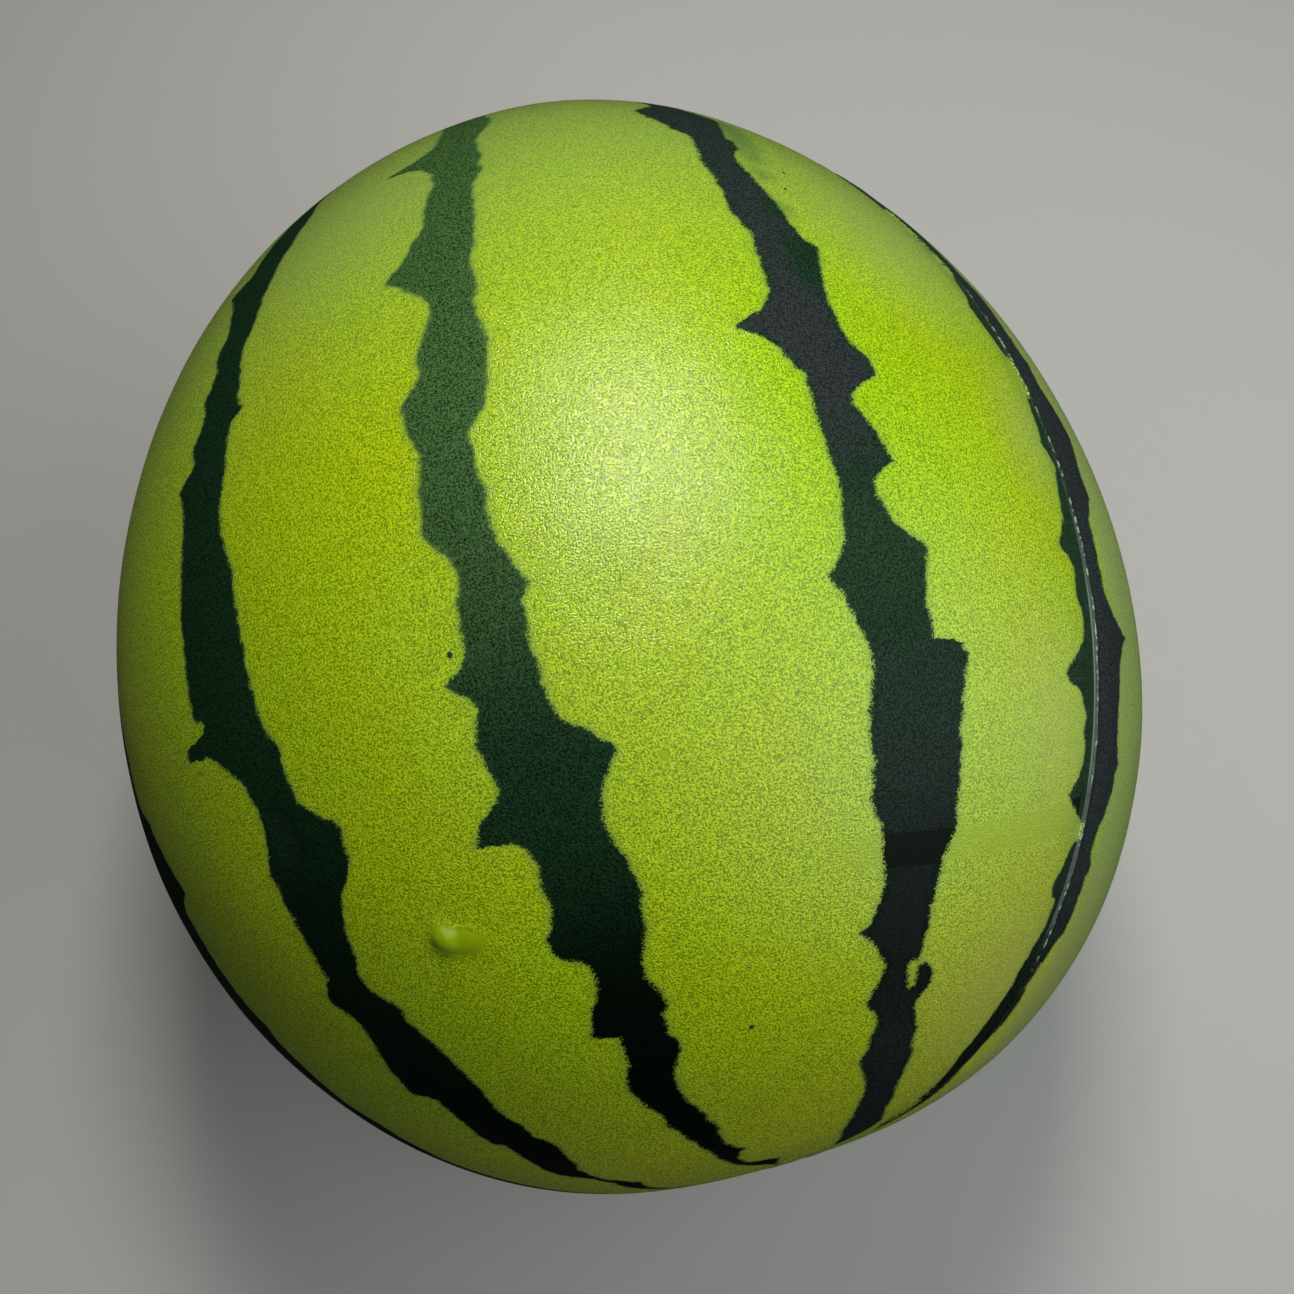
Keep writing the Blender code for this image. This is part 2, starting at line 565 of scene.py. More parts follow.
MIDDLE_STRIPE = Stripe(
    left=(
        (12, -92), (25, -95), (34, -95.6), (41, -95.4), (43, -95.3), (45, -95.8), (47, -96),
        (48, -96.3), (49, -97.5), (50, -98.5), (50.9, -100.5), (51.3, -103.3), (52, -102.8),
        (52.4, -99.5), (53, -98.4), (54.2, -97), (55.5, -96.4), (57, -96.3), (58.5, -96.6),
        (60, -97.3), (62, -97.8), (64, -97.8), (65, -98.7), (66, -99.5), (67.2, -100.1),
        (68.2, -101.2), (69.4, -102.7), (70.5, -101.1), (71.5, -100.3), (72.3, -99.1),
        (73.5, -98.1), (75, -98.5), (77, -99.6), (78.8, -100.5), (79.5, -100), (80.5, -100.7),
        (81.8, -102.1), (82.5, -102.5), (84.5, -102.4), (86, -101.7), (87.2, -101.7),
        (89, -102.4), (90.5, -102.5), (92.3, -103), (93.3, -102.4), (94.5, -101.3),
        (96, -100.6), (97.3, -101.2), (98.5, -101.6), (100, -101.8), (101.5, -102),
        (102.3, -103), (103.2, -104.5), (103.9, -103.7), (104.6, -102.8), (105.5, -102.4),
        (106.5, -103), (107.8, -103.5), (109.5, -103.2), (111.5, -102.9), (112.3, -103.5),
        (113, -105.3), (114, -106.3), (114.8, -106.8), (115.1, -106.9), (115.2, -104),
        (116, -102.6), (117.5, -102.1), (119, -102.4), (120, -102.5), (121, -102.2),
        (122.2, -102.9), (123.5, -104.3), (125, -104), (125.7, -102.8), (126.3, -101.3),
        (127.5, -101.2), (128.8, -101.6), (130, -102.5), (131, -103.5), (132.3, -104.3),
        (133.2, -104.8), (133.8, -103.8), (134, -102), (135.5, -102.4), (137, -102.6),
        (138.5, -103.6), (140.3, -104.9), (142, -104.3), (144, -103.6), (145.5, -102.8),
        (147, -103.6), (148.5, -102.2), (150.5, -102.4), (151.3, -101.6), (153.5, -101.2),
        (155, -100.3), (157, -100.2), (158, -99.4), (160, -99), (161.5, -98.3), (163, -96),
        (164.5, -93.5), (166, -90.5), (167.5, -87), (169.5, -84),
    ),
    right=(
        (12, -92), (25, -88), (34, -87.4), (41, -87.2), (43, -86.9), (45, -87.2), (47, -88.2),
        (48.5, -89.2), (50, -90), (51, -89.7), (53, -90), (54.5, -89.6), (55.5, -90.3),
        (57.5, -90), (58.5, -90.6), (60, -91.5), (62, -91.8), (65, -92.1), (67, -92.5),
        (68.8, -92.9), (70, -93.5), (72, -93.3), (73.5, -93.1), (74.5, -93.8), (76, -93.9),
        (78.7, -93.4), (80, -93.7), (82, -94.3), (84, -94.8), (85, -95.8), (86, -96.9),
        (87.5, -96.9), (89.5, -97), (90.8, -96.5), (92, -97), (94, -96.9), (95.2, -96.5),
        (96.5, -96), (98.2, -95.1), (99, -96.1), (100.5, -96.1), (102, -96.4), (104, -96.3),
        (106, -96.4), (107, -96.1), (108, -95.6), (109, -94.2), (110, -92.9), (110.8, -91.9),
        (111.5, -92.3), (113, -93.8), (114.5, -94.6), (116, -94.9), (117.3, -94.8),
        (118.2, -94.3), (119.5, -93.9), (121.8, -93.7), (123, -94.1), (125, -94.5),
        (126, -95.2), (128, -95.9), (129, -96.3), (130, -95.7), (131.8, -95), (133, -95.8),
        (135, -96.3), (136, -95.6), (137.2, -95.7), (138, -96.4), (139.5, -97.7),
        (141.5, -98.2), (144, -98), (145.5, -97.1), (146.5, -96.7), (148, -96.6),
        (150, -95.6), (151, -96.4), (153.5, -96.1), (155, -95), (155.5, -93.8),
        (156.2, -92.8), (157, -94.6), (158.3, -96), (160, -95.8), (161.5, -95.2),
        (162.5, -92), (163, -86.5), (164, -84.8), (166, -84.3), (169.5, -84),
    ),
    shade=((0, 0.0), (80, 0.0), (100, 0.25), (115, 0.58), (128, 0.92), (134, 1.0), (180, 1.0)),
)

RIGHT_STRIPE = Stripe(
    left=(
        (12, -66), (25, -62), (36, -61), (41, -60), (45, -60), (46.8, -61.5), (47.8, -63.5),
        (48.6, -65.4), (50, -65.6), (51.5, -65.2), (53, -64.5), (54, -64), (54.8, -64.3),
        (55.3, -63.8), (56.2, -62.8), (57.5, -62.6), (58.5, -63.2), (59.5, -63.6), (60.5, -63.9),
        (61.5, -64.4), (63, -64.6), (65, -64.6), (66.5, -65), (68, -65.3), (69.8, -65.8),
        (71.5, -65.4), (73, -65), (74.5, -65.7), (76, -66), (78.5, -66.4), (79.5, -66.6),
        (80.3, -67.4), (81.3, -68.3), (81.7, -70), (82.2, -71.9), (82.8, -70.8), (83.8, -69),
        (84.8, -68), (86, -67.6), (86.8, -67.4), (87.2, -66.7), (88, -66.8), (90, -67.1),
        (93, -67.2), (95, -67.2), (97, -67.1), (98.5, -67.7), (100, -68.1), (101.3, -68.8),
        (102, -69.5), (102.6, -70.5), (103.5, -69.9), (104.5, -69.3), (106.5, -68.7),
        (108, -68.1), (109.3, -67.8), (110.5, -68.2), (111.5, -68.6), (113, -69.1),
        (115, -69.5), (116.5, -69.2), (118, -69.6), (119.5, -69.9), (120.5, -69.7),
        (121.5, -69.1), (124, -69.2), (126.5, -69.1), (127.6, -69.6), (129, -70.3),
        (129.9, -71.2), (130.4, -72.6), (130.9, -71.2), (131.5, -70.8), (132.8, -69.6),
        (134, -68.8), (135, -68.9), (136, -69.8), (137, -70.3), (137.9, -71), (138.8, -70),
        (139.8, -69), (141, -68.9), (142.5, -69.4), (144, -69.6), (145, -70.4), (145.4, -70.6),
        (146.2, -69.8), (147.5, -68.8), (149, -67.9), (150.5, -67.2), (153, -67.2),
        (155.5, -67), (158, -66.3), (160, -65.5), (161.5, -64), (165, -60), (169, -54),
    ),
    right=(
        (12, -66), (25, -56), (36, -54.5), (47, -54), (49, -52.5), (50.5, -52.6),
        (51.5, -53.6), (53, -54.8), (54.5, -55.6), (55.5, -56.2), (56.3, -57.2),
        (57.5, -56.6), (59, -57.2), (60, -58.4), (61, -59.4), (62.5, -59.5), (64, -59.6),
        (66, -59.5), (68, -59.4), (70, -59.4), (71.5, -59.6), (73, -59.6), (74, -59),
        (74.7, -58.4), (75.5, -58.7), (76.8, -59.3), (78, -59.9), (79, -60.4), (81, -60.9),
        (83, -61), (84.5, -60.7), (85.5, -60.1), (86, -59.3), (87.2, -59.4), (88, -59.9),
        (88.3, -61.5), (89, -62.7), (90, -63), (91, -62.5), (92.3, -61.7), (94, -61.3),
        (94.8, -60.8), (95.2, -62), (95.8, -63.3), (96.8, -63.9), (98, -63.4), (99.5, -62.8),
        (100.3, -61.5), (101.2, -60.3), (101.8, -60), (103, -60.5), (104.5, -61),
        (105.8, -61.5), (107, -61.2), (108.3, -61.2), (108.6, -57.2), (109, -58.4),
        (109.8, -57.5), (110.7, -58), (112.5, -58.7), (114, -59), (115.5, -59.5),
        (116.4, -59.1), (117.5, -59.6), (119.5, -59.8), (121, -60.2), (123.2, -60.3),
        (124.5, -61.2), (126, -62), (128, -62.6), (130, -63), (132, -63.2), (133.5, -63.5),
        (134.4, -64), (135, -62.8), (135.6, -61.6), (136.2, -61.1), (137.5, -61.6),
        (138.5, -62.5), (139.5, -63), (141, -62.5), (142, -61.8), (142.6, -61),
        (143.5, -61.6), (145, -60.9), (146, -60), (147, -60), (150, -59.5), (151.5, -59),
        (153, -58), (155, -57), (156.5, -56.3), (157.5, -55.2), (158.5, -53.5), (159.5, -52),
        (164, -50), (169, -54),
    ),
    shade=(
        (0, 0.4), (94, 0.5), (99, 0.38), (105, 0.42), (109, 0.55), (118, 0.66), (125, 0.90),
        (136, 0.92), (143, 0.75), (180, 0.85),
    ),
    charcoal=(
        (0, 0.6), (62, 0.65), (72, 0.80), (80, 1.0), (88, 1.0), (97, 0.2), (105, 0.1),
        (110, 0.35), (120, 0.5), (128, 0.9), (180, 1.0),
    ),
)

SEAM_STRIPE = Stripe(
    left=(
        (14, -40), (28, -39), (40, -38), (50, -37), (58, -35), (60.8, -36), (61.5, -38),
        (62.6, -37.2), (63.5, -35.2), (65.5, -34.6), (68.3, -35.2), (71.7, -35.4), (73.5, -35.2),
        (74.8, -35.8), (76, -36.5), (77.5, -37.4), (78.8, -38.6), (80, -38.3), (81.5, -37.7),
        (82.5, -37), (84, -35.7), (87, -35.7), (88.3, -36.5), (89.5, -37.3), (91.6, -37.8),
        (92.5, -38.7), (93, -37.5), (94.2, -36.6), (95.3, -37.5), (96.5, -38.3), (98, -38.8),
        (99.5, -39.5), (100.5, -40.8), (101.5, -41.6), (102.1, -40.3), (103, -39.5),
        (104.5, -39.6), (105.8, -39.9), (107, -39.1), (108, -39.1), (109.3, -39.7),
        (110.3, -41.3), (111.2, -42.7), (112.3, -43.7), (112.8, -42), (113.6, -40.5),
        (114.8, -39.9), (115.5, -39.5), (116.5, -40), (118.3, -39.5), (119.8, -40), (121, -41),
        (121.8, -42.4), (122.8, -41.3), (123.7, -39.8), (124.2, -38.4), (124.8, -37.6),
        (126.3, -37.7), (126.8, -39.3), (127.5, -39.9), (129, -41), (130.2, -42), (131.2, -41.4),
        (131.5, -39.8), (133, -39.9), (134.5, -40), (136, -41.2), (138, -42), (141, -42.6),
        (144.8, -43.4), (148.9, -44.6), (152, -43), (154.5, -41.6), (157, -42), (160, -40),
        (171, -37),
    ),
    right=(
        (14, -40), (28, -33), (45, -31.5), (60, -31), (71, -31), (73, -31.5), (75, -30.3),
        (77, -30.6), (79, -31), (82, -31.1), (83.2, -30.1), (84.2, -30.9), (86, -30.8),
        (87.3, -30), (88.5, -29.1), (90, -28.6), (91.5, -29), (93, -29.8), (94.5, -30.3),
        (95.5, -29.9), (96.3, -29.8), (97.2, -31), (98.5, -32.4), (100, -32.6), (102, -32.8),
        (104, -32.8), (105.3, -32.6), (106.3, -31.5), (107, -30.3), (107.6, -28.8), (108.3, -27),
        (109, -28.6), (110, -29.5), (111, -30.1), (113, -30.6), (115, -30.8), (117, -30.8),
        (118.5, -30.5), (119.5, -29.5), (120.3, -30.6), (122, -30.8), (123.5, -31.7),
        (124.5, -32), (125.2, -33), (126.5, -33.3), (128, -33.1), (129.3, -32.4), (130.3, -33.1),
        (132, -32.9), (134, -33), (135.5, -33.3), (136.8, -34.6), (138.5, -35.6), (141, -36.2),
        (143.5, -35.6), (145.7, -35.6), (147.8, -37), (150, -38.3), (152.4, -37.4),
        (155.3, -35.8), (158, -35.5), (171, -37),
    ),
    shade=((0, 0.32), (125, 0.38), (140, 0.8), (180, 1.0)),
    charcoal=((0, 0.35), (180, 0.35)),
)


@dataclass(frozen=True)
class StripeRule:
    """How a stripe out of the photo's view is made in the style of those in it.

    A tooth's shape is pairs of how far along it and how much of its spur is reached there.
    """

    seed: int = 20
    first_polar: float = 13.0
    last_polar: float = 169.0
    point_before_teeth: float = 4.0
    point_after_teeth: float = 6.0
    least_point: float = 3.0
    half_width: float = 3.9
    width_spread: float = 0.45
    least_half_width: float = 0.3
    wander: float = 1.3
    wander_pace: float = 2.1
    wander_spacing: float = 53.0
    taper: float = 26.0
    taper_power: float = 0.7
    last_taper_gain: float = 1.8
    shortest_tooth: float = 2.6
    longest_tooth: float = 9.5
    tooth_shape: tuple[Pair, ...] = ((0.0, 0.0), (0.4, 0.22), (0.72, 0.45), (0.9, 1.0))
    lowest_spur: float = 0.4
    highest_spur: float = 3.6
    spur_power: float = 2.6
    top_shades: Pair = (0.0, 0.5)
    turning_polars: Pair = (85.0, 125.0)
    charcoal_share: float = 0.4

    def edge(self, chance: np.random.Generator, middle: float, side: int) -> tuple[Pair, ...]:
        """One jagged edge: teeth that widen the stripe slowly and fall back at once.

        Args:
            chance: The seeded generator.
            middle: The stripe's middle longitude.
            side: -1 for the left edge or 1 for the right.

        Returns:
            Pairs of polar angle and longitude.
        """
        phase = 2 * math.pi * (middle % 1 + middle / self.wander_spacing)
        points = [(self.first_polar, middle)]
        polar = self.first_polar + self.point_before_teeth
        while polar < self.last_polar - self.point_after_teeth:
            tooth = chance.uniform(self.shortest_tooth, self.longest_tooth)
            spur = self.lowest_spur + self.highest_spur * chance.uniform() ** self.spur_power
            start = self.half_width + chance.normal() * self.width_spread
            for share, lift in self.tooth_shape:
                at = polar + share * tooth
                width = (start + lift * spur) * self.taper_at(at)
                sway = self.wander * math.sin(math.radians(at * self.wander_pace) + phase)
                if at < self.last_polar - self.least_point:
                    outward = side * max(self.least_half_width, width)
                    points.append((at, middle + sway + outward))
            polar += tooth
        points.append((self.last_polar, middle))
        return tuple(points)

    def taper_at(self, polar: float) -> float:
        """How much of a stripe's width is left at this polar angle, as its ends run out.

        Args:
            polar: The polar angle.

        Returns:
            From 0 at the ends to 1 along its length.
        """
        before_end = (self.last_polar - polar) * self.last_taper_gain
        from_ends = max(0.0, min(polar - self.first_polar, before_end))
        return min(1.0, (from_ends / self.taper) ** self.taper_power)

    def stripe(self, chance: np.random.Generator, middle: float) -> Stripe:
        """A whole stripe that darkens from its stem end to its blossom end.

        Args:
            chance: The seeded generator.
            middle: The stripe's middle longitude.

        Returns:
            The stripe.
        """
        top, turning = chance.uniform(*self.top_shades), chance.uniform(*self.turning_polars)
        shade = ((0, top), (turning, top + 0.1), (turning + 25, 0.85), (180, 1.0))
        charcoal = NO_CHARCOAL
        if chance.uniform() < self.charcoal_share:
            charcoal = (
                (0, 1.0), (turning - 40, 1.0), (turning - 28, 0.1), (turning, 1.0), (180, 1.0)
            )
        edges = (self.edge(chance, middle, side) for side in (-1, 1))
        return Stripe(*edges, shade, charcoal)

    def stripes(self, middles: tuple[float, ...]) -> tuple[Stripe, ...]:
        """The stripes with these middle longitudes."""
        chance = np.random.default_rng(self.seed)
        return tuple(self.stripe(chance, middle) for middle in middles)


@dataclass(frozen=True)
class SkinFinish:
    """The light green moulded skin.

    A pair is a range: where an effect is nothing and where it is full. Ranges from the seam or
    from a stripe's rim are in mm, and end ranges are cosines from the blossom end's axis.
    """

    bright_green: Colour = (0.560, 0.780, 0.009)
    low_green: Colour = (0.175, 0.290, 0.001)
    yellow_tint: Colour = (1.02, 0.985, 0.60)
    blue_tint: Colour = (0.95, 1.01, 1.10)
    cloud_period: float = 0.040
    cloud_range: Pair = (0.36, 0.64)
    olive_tint: Colour = (1.15, 0.94, 0.70)
    olive_range: Pair = (0.66, 0.94)
    halo_green: Colour = (0.210, 0.370, 0.060)
    halo_range: Pair = (-1.8, 0.0)
    halo_strength: float = 0.35
    seam_halo_range: Pair = (-10.0, -3.0)
    seam_halo_end: Pair = (2.0, 1.0)
    seam_halo_strength: float = 0.4
    dust: Colour = (0.340, 0.440, 0.190)
    dust_range: Pair = (3.0, 12.0)
    dust_end: Pair = (70.0, 40.0)
    dust_strength: float = 0.6
    # Painted reflection haze towards the stem end, which also darkens the light green there.
    painted_end_haze: Colour = (0.220, 0.370, 0.130)
    painted_end_haze_range: Pair = (-0.05, -0.80)
    painted_end_haze_strength: float = 0.55
    # In the band, the tint, the flatter grain and the darker colour paint a gap in the reflection
    # haze.
    painted_no_haze_tint: Colour = (0.96, 0.97, 0.0)
    haze_gap_grain: float = 0.50
    haze_gap_grain_share: float = 0.6
    glossy_grain: float = 0.42
    glossy_tint_share: float = 0.6
    roughness: float = 0.18
    haze_gap_roughness: float = 0.14
    specular: float = 0.62
    sheen: float = 0.02
    sheen_roughness: float = 0.5
    coat_roughness: float = 0.16


@dataclass(frozen=True)
class GrainFinish:
    """The moulded grain: lumps in the surface, dark between them. Lengths are metres."""

    period: float = 0.00036
    detail: float = 1.5
    roughness: float = 0.55
    contrast: Pair = (0.33, 0.67)
    height: float = 0.00007
    lump_gain: float = 2.4
    glossy_loss: float = 0.85
    ragged_period: float = 0.0011
    ragged_gain: float = 3.0
    ragged_start: Pair = (-0.9, -0.6)
    ragged_end: Pair = (0.0, -0.3)


@dataclass(frozen=True)
class PaintFinish:
    """The sprayed stripes: speckled green from bottle green to black, and charcoal over it.

    A pair is a range: where an effect is nothing and where it is full, in mm from the seam or
    inside a stripe's rim unless its name says otherwise.
    """

    bottle_green: Colour = (0.008, 0.031, 0.010)
    bottle_speckle: Colour = (0.080, 0.182, 0.050)
    dark_green: Colour = (0.0018, 0.0115, 0.0045)
    dark_speckle: Colour = (0.0140, 0.0520, 0.0210)
    black: Colour = (0.0004, 0.0030, 0.0010)
    black_speckle: Colour = (0.0010, 0.0065, 0.0022)
    dark_shades: Pair = (0.0, 0.5)
    black_shades: Pair = (0.5, 1.0)
    charcoal: Colour = (0.0075, 0.0118, 0.0118)
    charcoal_speckle: Colour = (0.0370, 0.0480, 0.0485)
    charcoal_rim: Pair = (0.0, 1.8)
    charcoal_shares: Pair = (0.1, 0.9)
    charcoal_blackening: float = 0.8
    spray_period: float = 0.0016
    spray_reach: float = 3.0
    spray_unevenness: float = 0.2
    spray_grain: float = 0.3
    seam_charcoal_start: Pair = (-0.5, 0.1)
    seam_charcoal_end: Pair = (17.0, 14.0)
    seam_charcoal_rim: Pair = (0.4, 1.4)
    # Darkens the paint in the band: a painted gap in the reflection haze.
    haze_gap_darkening: float = 0.75
    roughness: float = 0.42
    specular: float = 0.08
    edge_softness: float = 0.28
    edge_fuzz: float = 0.9


@dataclass(frozen=True)
class BeadFinish:
    """The paint and gloss of the parting line's bead, a thin line of worn paint and painted
    highlight at its foot, and painted highlight dots on its edge.

    A pair is a range: where an effect is nothing and where it is full. Places across the bead
    are in mm from the seam, and places along it are cosines from its tilted long axis.
    """

    painted_half_width: float = 1.1
    painted_middle: float = 0.45
    bare_ends: Pair = (0.955, 0.985)
    bare_ends_depth: float = 4.0
    gloss_edge: Pair = (1.5, 1.1)
    break_period: float = 0.009
    # The foot line's colour: worn paint showing the light green, with a painted highlight.
    worn_and_glint_green: Colour = (0.110, 0.230, 0.120)
    line_place: float = -1.15
    line_edge: Pair = (0.26, 0.10)
    line_breaks: Pair = (0.30, 0.40)
    line_start: Pair = (-0.20, -0.27)
    line_end: Pair = (-0.54, -0.50)
    line_strength: float = 0.75
    # The dots' colour: a painted highlight on the bead's edge.
    painted_glint_white: Colour = (0.420, 0.520, 0.380)
    dot_period: float = 0.0013
    dot_sizes: Pair = (0.48, 0.62)
    dots_place: float = -0.50
    dots_edge: Pair = (0.28, 0.10)
    dots_breaks: Pair = (0.64, 0.50)
    dots_start: Pair = (0.26, 0.20)
    dots_end: Pair = (-0.80, -0.70)
    dots_strength: float = 0.8


@dataclass(frozen=True)
class Speck:
    """A small fleck or nick in the finish: its place, size in mm and colour."""

    polar: float
    longitude: float
    radius: float
    colour: Colour


@dataclass(frozen=True)
class Mist:
    """A soft round patch of colour, with its half size in mm."""

    polar: float
    longitude: float
    half_size: float
    strength: float
    colour: Colour = (0.075, 0.175, 0.052)


@dataclass(frozen=True)
class Bite:
    """A small round bay of light skin in a stripe, with its radius in mm."""

    polar: float
    longitude: float
    radius: float


@dataclass(frozen=True)
class HazeGapBand:
    """A straight narrow band, smoother than the skin, with a painted gap in its reflection haze.

    Its ends are pairs of polar angle and turn. Its half width is in mm, and it fades out over
    the last degrees of turn. Its edge is how soft it is, in mm and in degrees.
    """

    first: Pair = (123.6, 46.5)
    last: Pair = (122.2, 6.9)
    half_width: float = 3.1
    edge: float = 0.5
    fade: float = 9.0

    def normal(self) -> np.ndarray:
        """The normal of the plane through the melon's middle that the band follows."""
        normal = np.cross(direction_of(*self.first), direction_of(*self.last))
        return normal / np.linalg.norm(normal)


@dataclass(frozen=True)
class StripePattern:
    """All the stripes, round the melon, and the small marks between them.

    Painted reflection hazes, pale patches that stand in for light reflected near the limbs, and
    mists are laid over the light skin, tinges multiply its colour, and clearings take the charcoal
    off the stripes. Where paint reaches past a stripe's edge, in mm, its shade still holds.
    """

    seen: tuple[Stripe, ...] = (
        FAR_LEFT_STRIPE,
        LEFT_STRIPE,
        MIDDLE_STRIPE,
        RIGHT_STRIPE,
        SEAM_STRIPE,
    )
    unseen_middles: tuple[float, ...] = (-4, 24, 53, 83, 113, 143, 173)
    rule: StripeRule = StripeRule()
    spans: tuple[Pair, ...] = ((0, 60), (60, 120), (120, 180))
    jitter: float = 0.0010
    jitter_period: float = 0.0028
    paint_reach: float = 3.0
    specks: tuple[Speck, ...] = (
        Speck(91.3, -129.2, 0.6, (0.30, 0.36, 0.28)),
        Speck(110.7, -123.7, 0.6, (0.30, 0.36, 0.28)),
        Speck(101.2, -103.3, 0.7, (0.012, 0.04, 0.015)),
        Speck(63.3, -54.0, 0.5, (0.012, 0.04, 0.015)),
        Speck(66.3, -56.3, 0.5, (0.012, 0.04, 0.015)),
        Speck(136.9, -86.4, 0.6, (0.012, 0.04, 0.015)),
        Speck(51.5, -65.3, 0.7, (0.012, 0.04, 0.015)),
    )
    # Painted reflection haze: pale patches near the limbs that stand in for reflected light.
    painted_reflection_hazes: tuple[Mist, ...] = (
        Mist(71.0, -44.0, 34.0, 0.50, (0.30, 0.43, 0.130)),
        Mist(92.0, -40.0, 18.0, 0.40, (0.34, 0.47, 0.130)),
        Mist(117.5, -43.0, 30.0, 0.50, (0.46, 0.56, 0.150)),
        Mist(140.0, -42.0, 40.0, 0.55, (0.45, 0.48, 0.120)),
        Mist(58.0, -108.0, 32.0, 0.35, (0.32, 0.43, 0.120)),
    )
    mists: tuple[Mist, ...] = (
        Mist(51.5, -52.6, 7.0, 0.65),
        Mist(54.5, -54.0, 7.0, 0.65),
        Mist(57.5, -55.2, 7.0, 0.65),
        Mist(60.5, -56.6, 6.0, 0.55),
        Mist(64.0, -57.8, 5.0, 0.50),
        Mist(69.5, -58.9, 3.6, 0.50),
    )
    tinges: tuple[Mist, ...] = (
        Mist(93.0, -64.0, 46.0, 1.0, (0.84, 1.0, 0.45)),
        Mist(79.5, -63.5, 30.0, 0.8, (0.84, 1.0, 0.60)),
        Mist(82.5, -136.5, 36.0, 0.9, (0.88, 1.0, 0.80)),
        Mist(104.0, -140.0, 30.0, 0.6, (0.88, 0.96, 0.60)),
        Mist(142.0, -43.0, 44.0, 0.9, (1.28, 1.03, 1.0)),
    )
    clearings: tuple[Mist, ...] = (
        Mist(75.4, -60.2, 9.0, 0.95),
        Mist(78.0, -60.8, 7.0, 0.85),
        Mist(69.5, -60.0, 5.0, 0.80),
    )
    bites: tuple[Bite, ...] = (
        Bite(134.6, -63.5, 0.9),
        Bite(134.9, -64.6, 1.1),
        Bite(135.5, -64.6, 1.1),
        Bite(136.2, -64.5, 1.0),
        Bite(136.9, -64.4, 0.8),
    )
    band: HazeGapBand = HazeGapBand()

    def all_stripes(self) -> tuple[Stripe, ...]:
        """The stripes that the photo shows and then those made by rule."""
        return self.seen + self.rule.stripes(self.unseen_middles)

    def curve_signal(
        self, graph: Graph, polar: Signal, curves: tuple[tuple[Pair, ...], ...], full: float
    ) -> Signal:
        """Three curves over the polar angle, as one vector.

        Args:
            graph: The material's graph.
            polar: The polar angle, in degrees.
            curves: Three rows of pairs of polar angle and height.
            full: The height that the curve node's own 1 stands for.

        Returns:
            The heights, each read from the stretch of polar angles that holds this one.
        """
        result = None
        for low, high in self.spans:
            cut = tuple(self.cut(points, low, high, full) for points in curves)
            share = (polar - low) / (high - low)
            node = graph.node("ShaderNodeVectorCurve", {"curves": cut}, {1: share})
            heights = graph.signal(node)
            if result is None:
                result = heights
            else:
                past = graph.function("GREATER_THAN", polar, low)
                result = graph.mix_vectors(past, result, heights)
        return result * full

    def cut(
        self, points: tuple[Pair, ...], low: float, high: float, full: float
    ) -> tuple[Pair, ...]:
        """The part of a curve between two polar angles.

        Args:
            points: The curve's pairs of polar angle and height.
            low: Where the part starts.
            high: Where it ends.
            full: The height that becomes 1.

        Returns:
            Pairs that go from 0 to 1 across and stay within -1 to 1 high.
        """
        across, heights = zip(*points)
        inner = [pair for pair in points if low < pair[0] < high]
        ends = [(end, float(np.interp(end, across, heights))) for end in (low, high)]
        kept = [ends[0], *inner, ends[1]]
        return tuple(((at - low) / (high - low), height / full) for at, height in kept)

    def turned(self, edge: tuple[Pair, ...]) -> tuple[Pair, ...]:
        """An edge in turns instead of longitudes.

        Args:
            edge: Pairs of polar angle and longitude.

        Returns:
            Pairs of polar angle and turn, whose mean turn is within half a round of the top.
        """
        middle = sum(longitude for _, longitude in edge) / len(edge) + LONGITUDE_TO_TURN
        shift = LONGITUDE_TO_TURN - 360 * round(middle / 360)
        return tuple((polar, longitude + shift) for polar, longitude in edge)


@dataclass(frozen=True)
class Surface:
    """What is known about each place on the skin, for both shaders to share.

    Distances are in mm, and the haze gap, gloss, shade, sprayed and grain signals run from 0 to 1.
    """

    place: Signal
    direction: Signal
    inside: Signal
    shade: Signal
    sprayed: Signal
    from_seam: Signal
    haze_gap: Signal
    gloss: Signal
    grain: Signal
    normal: Signal


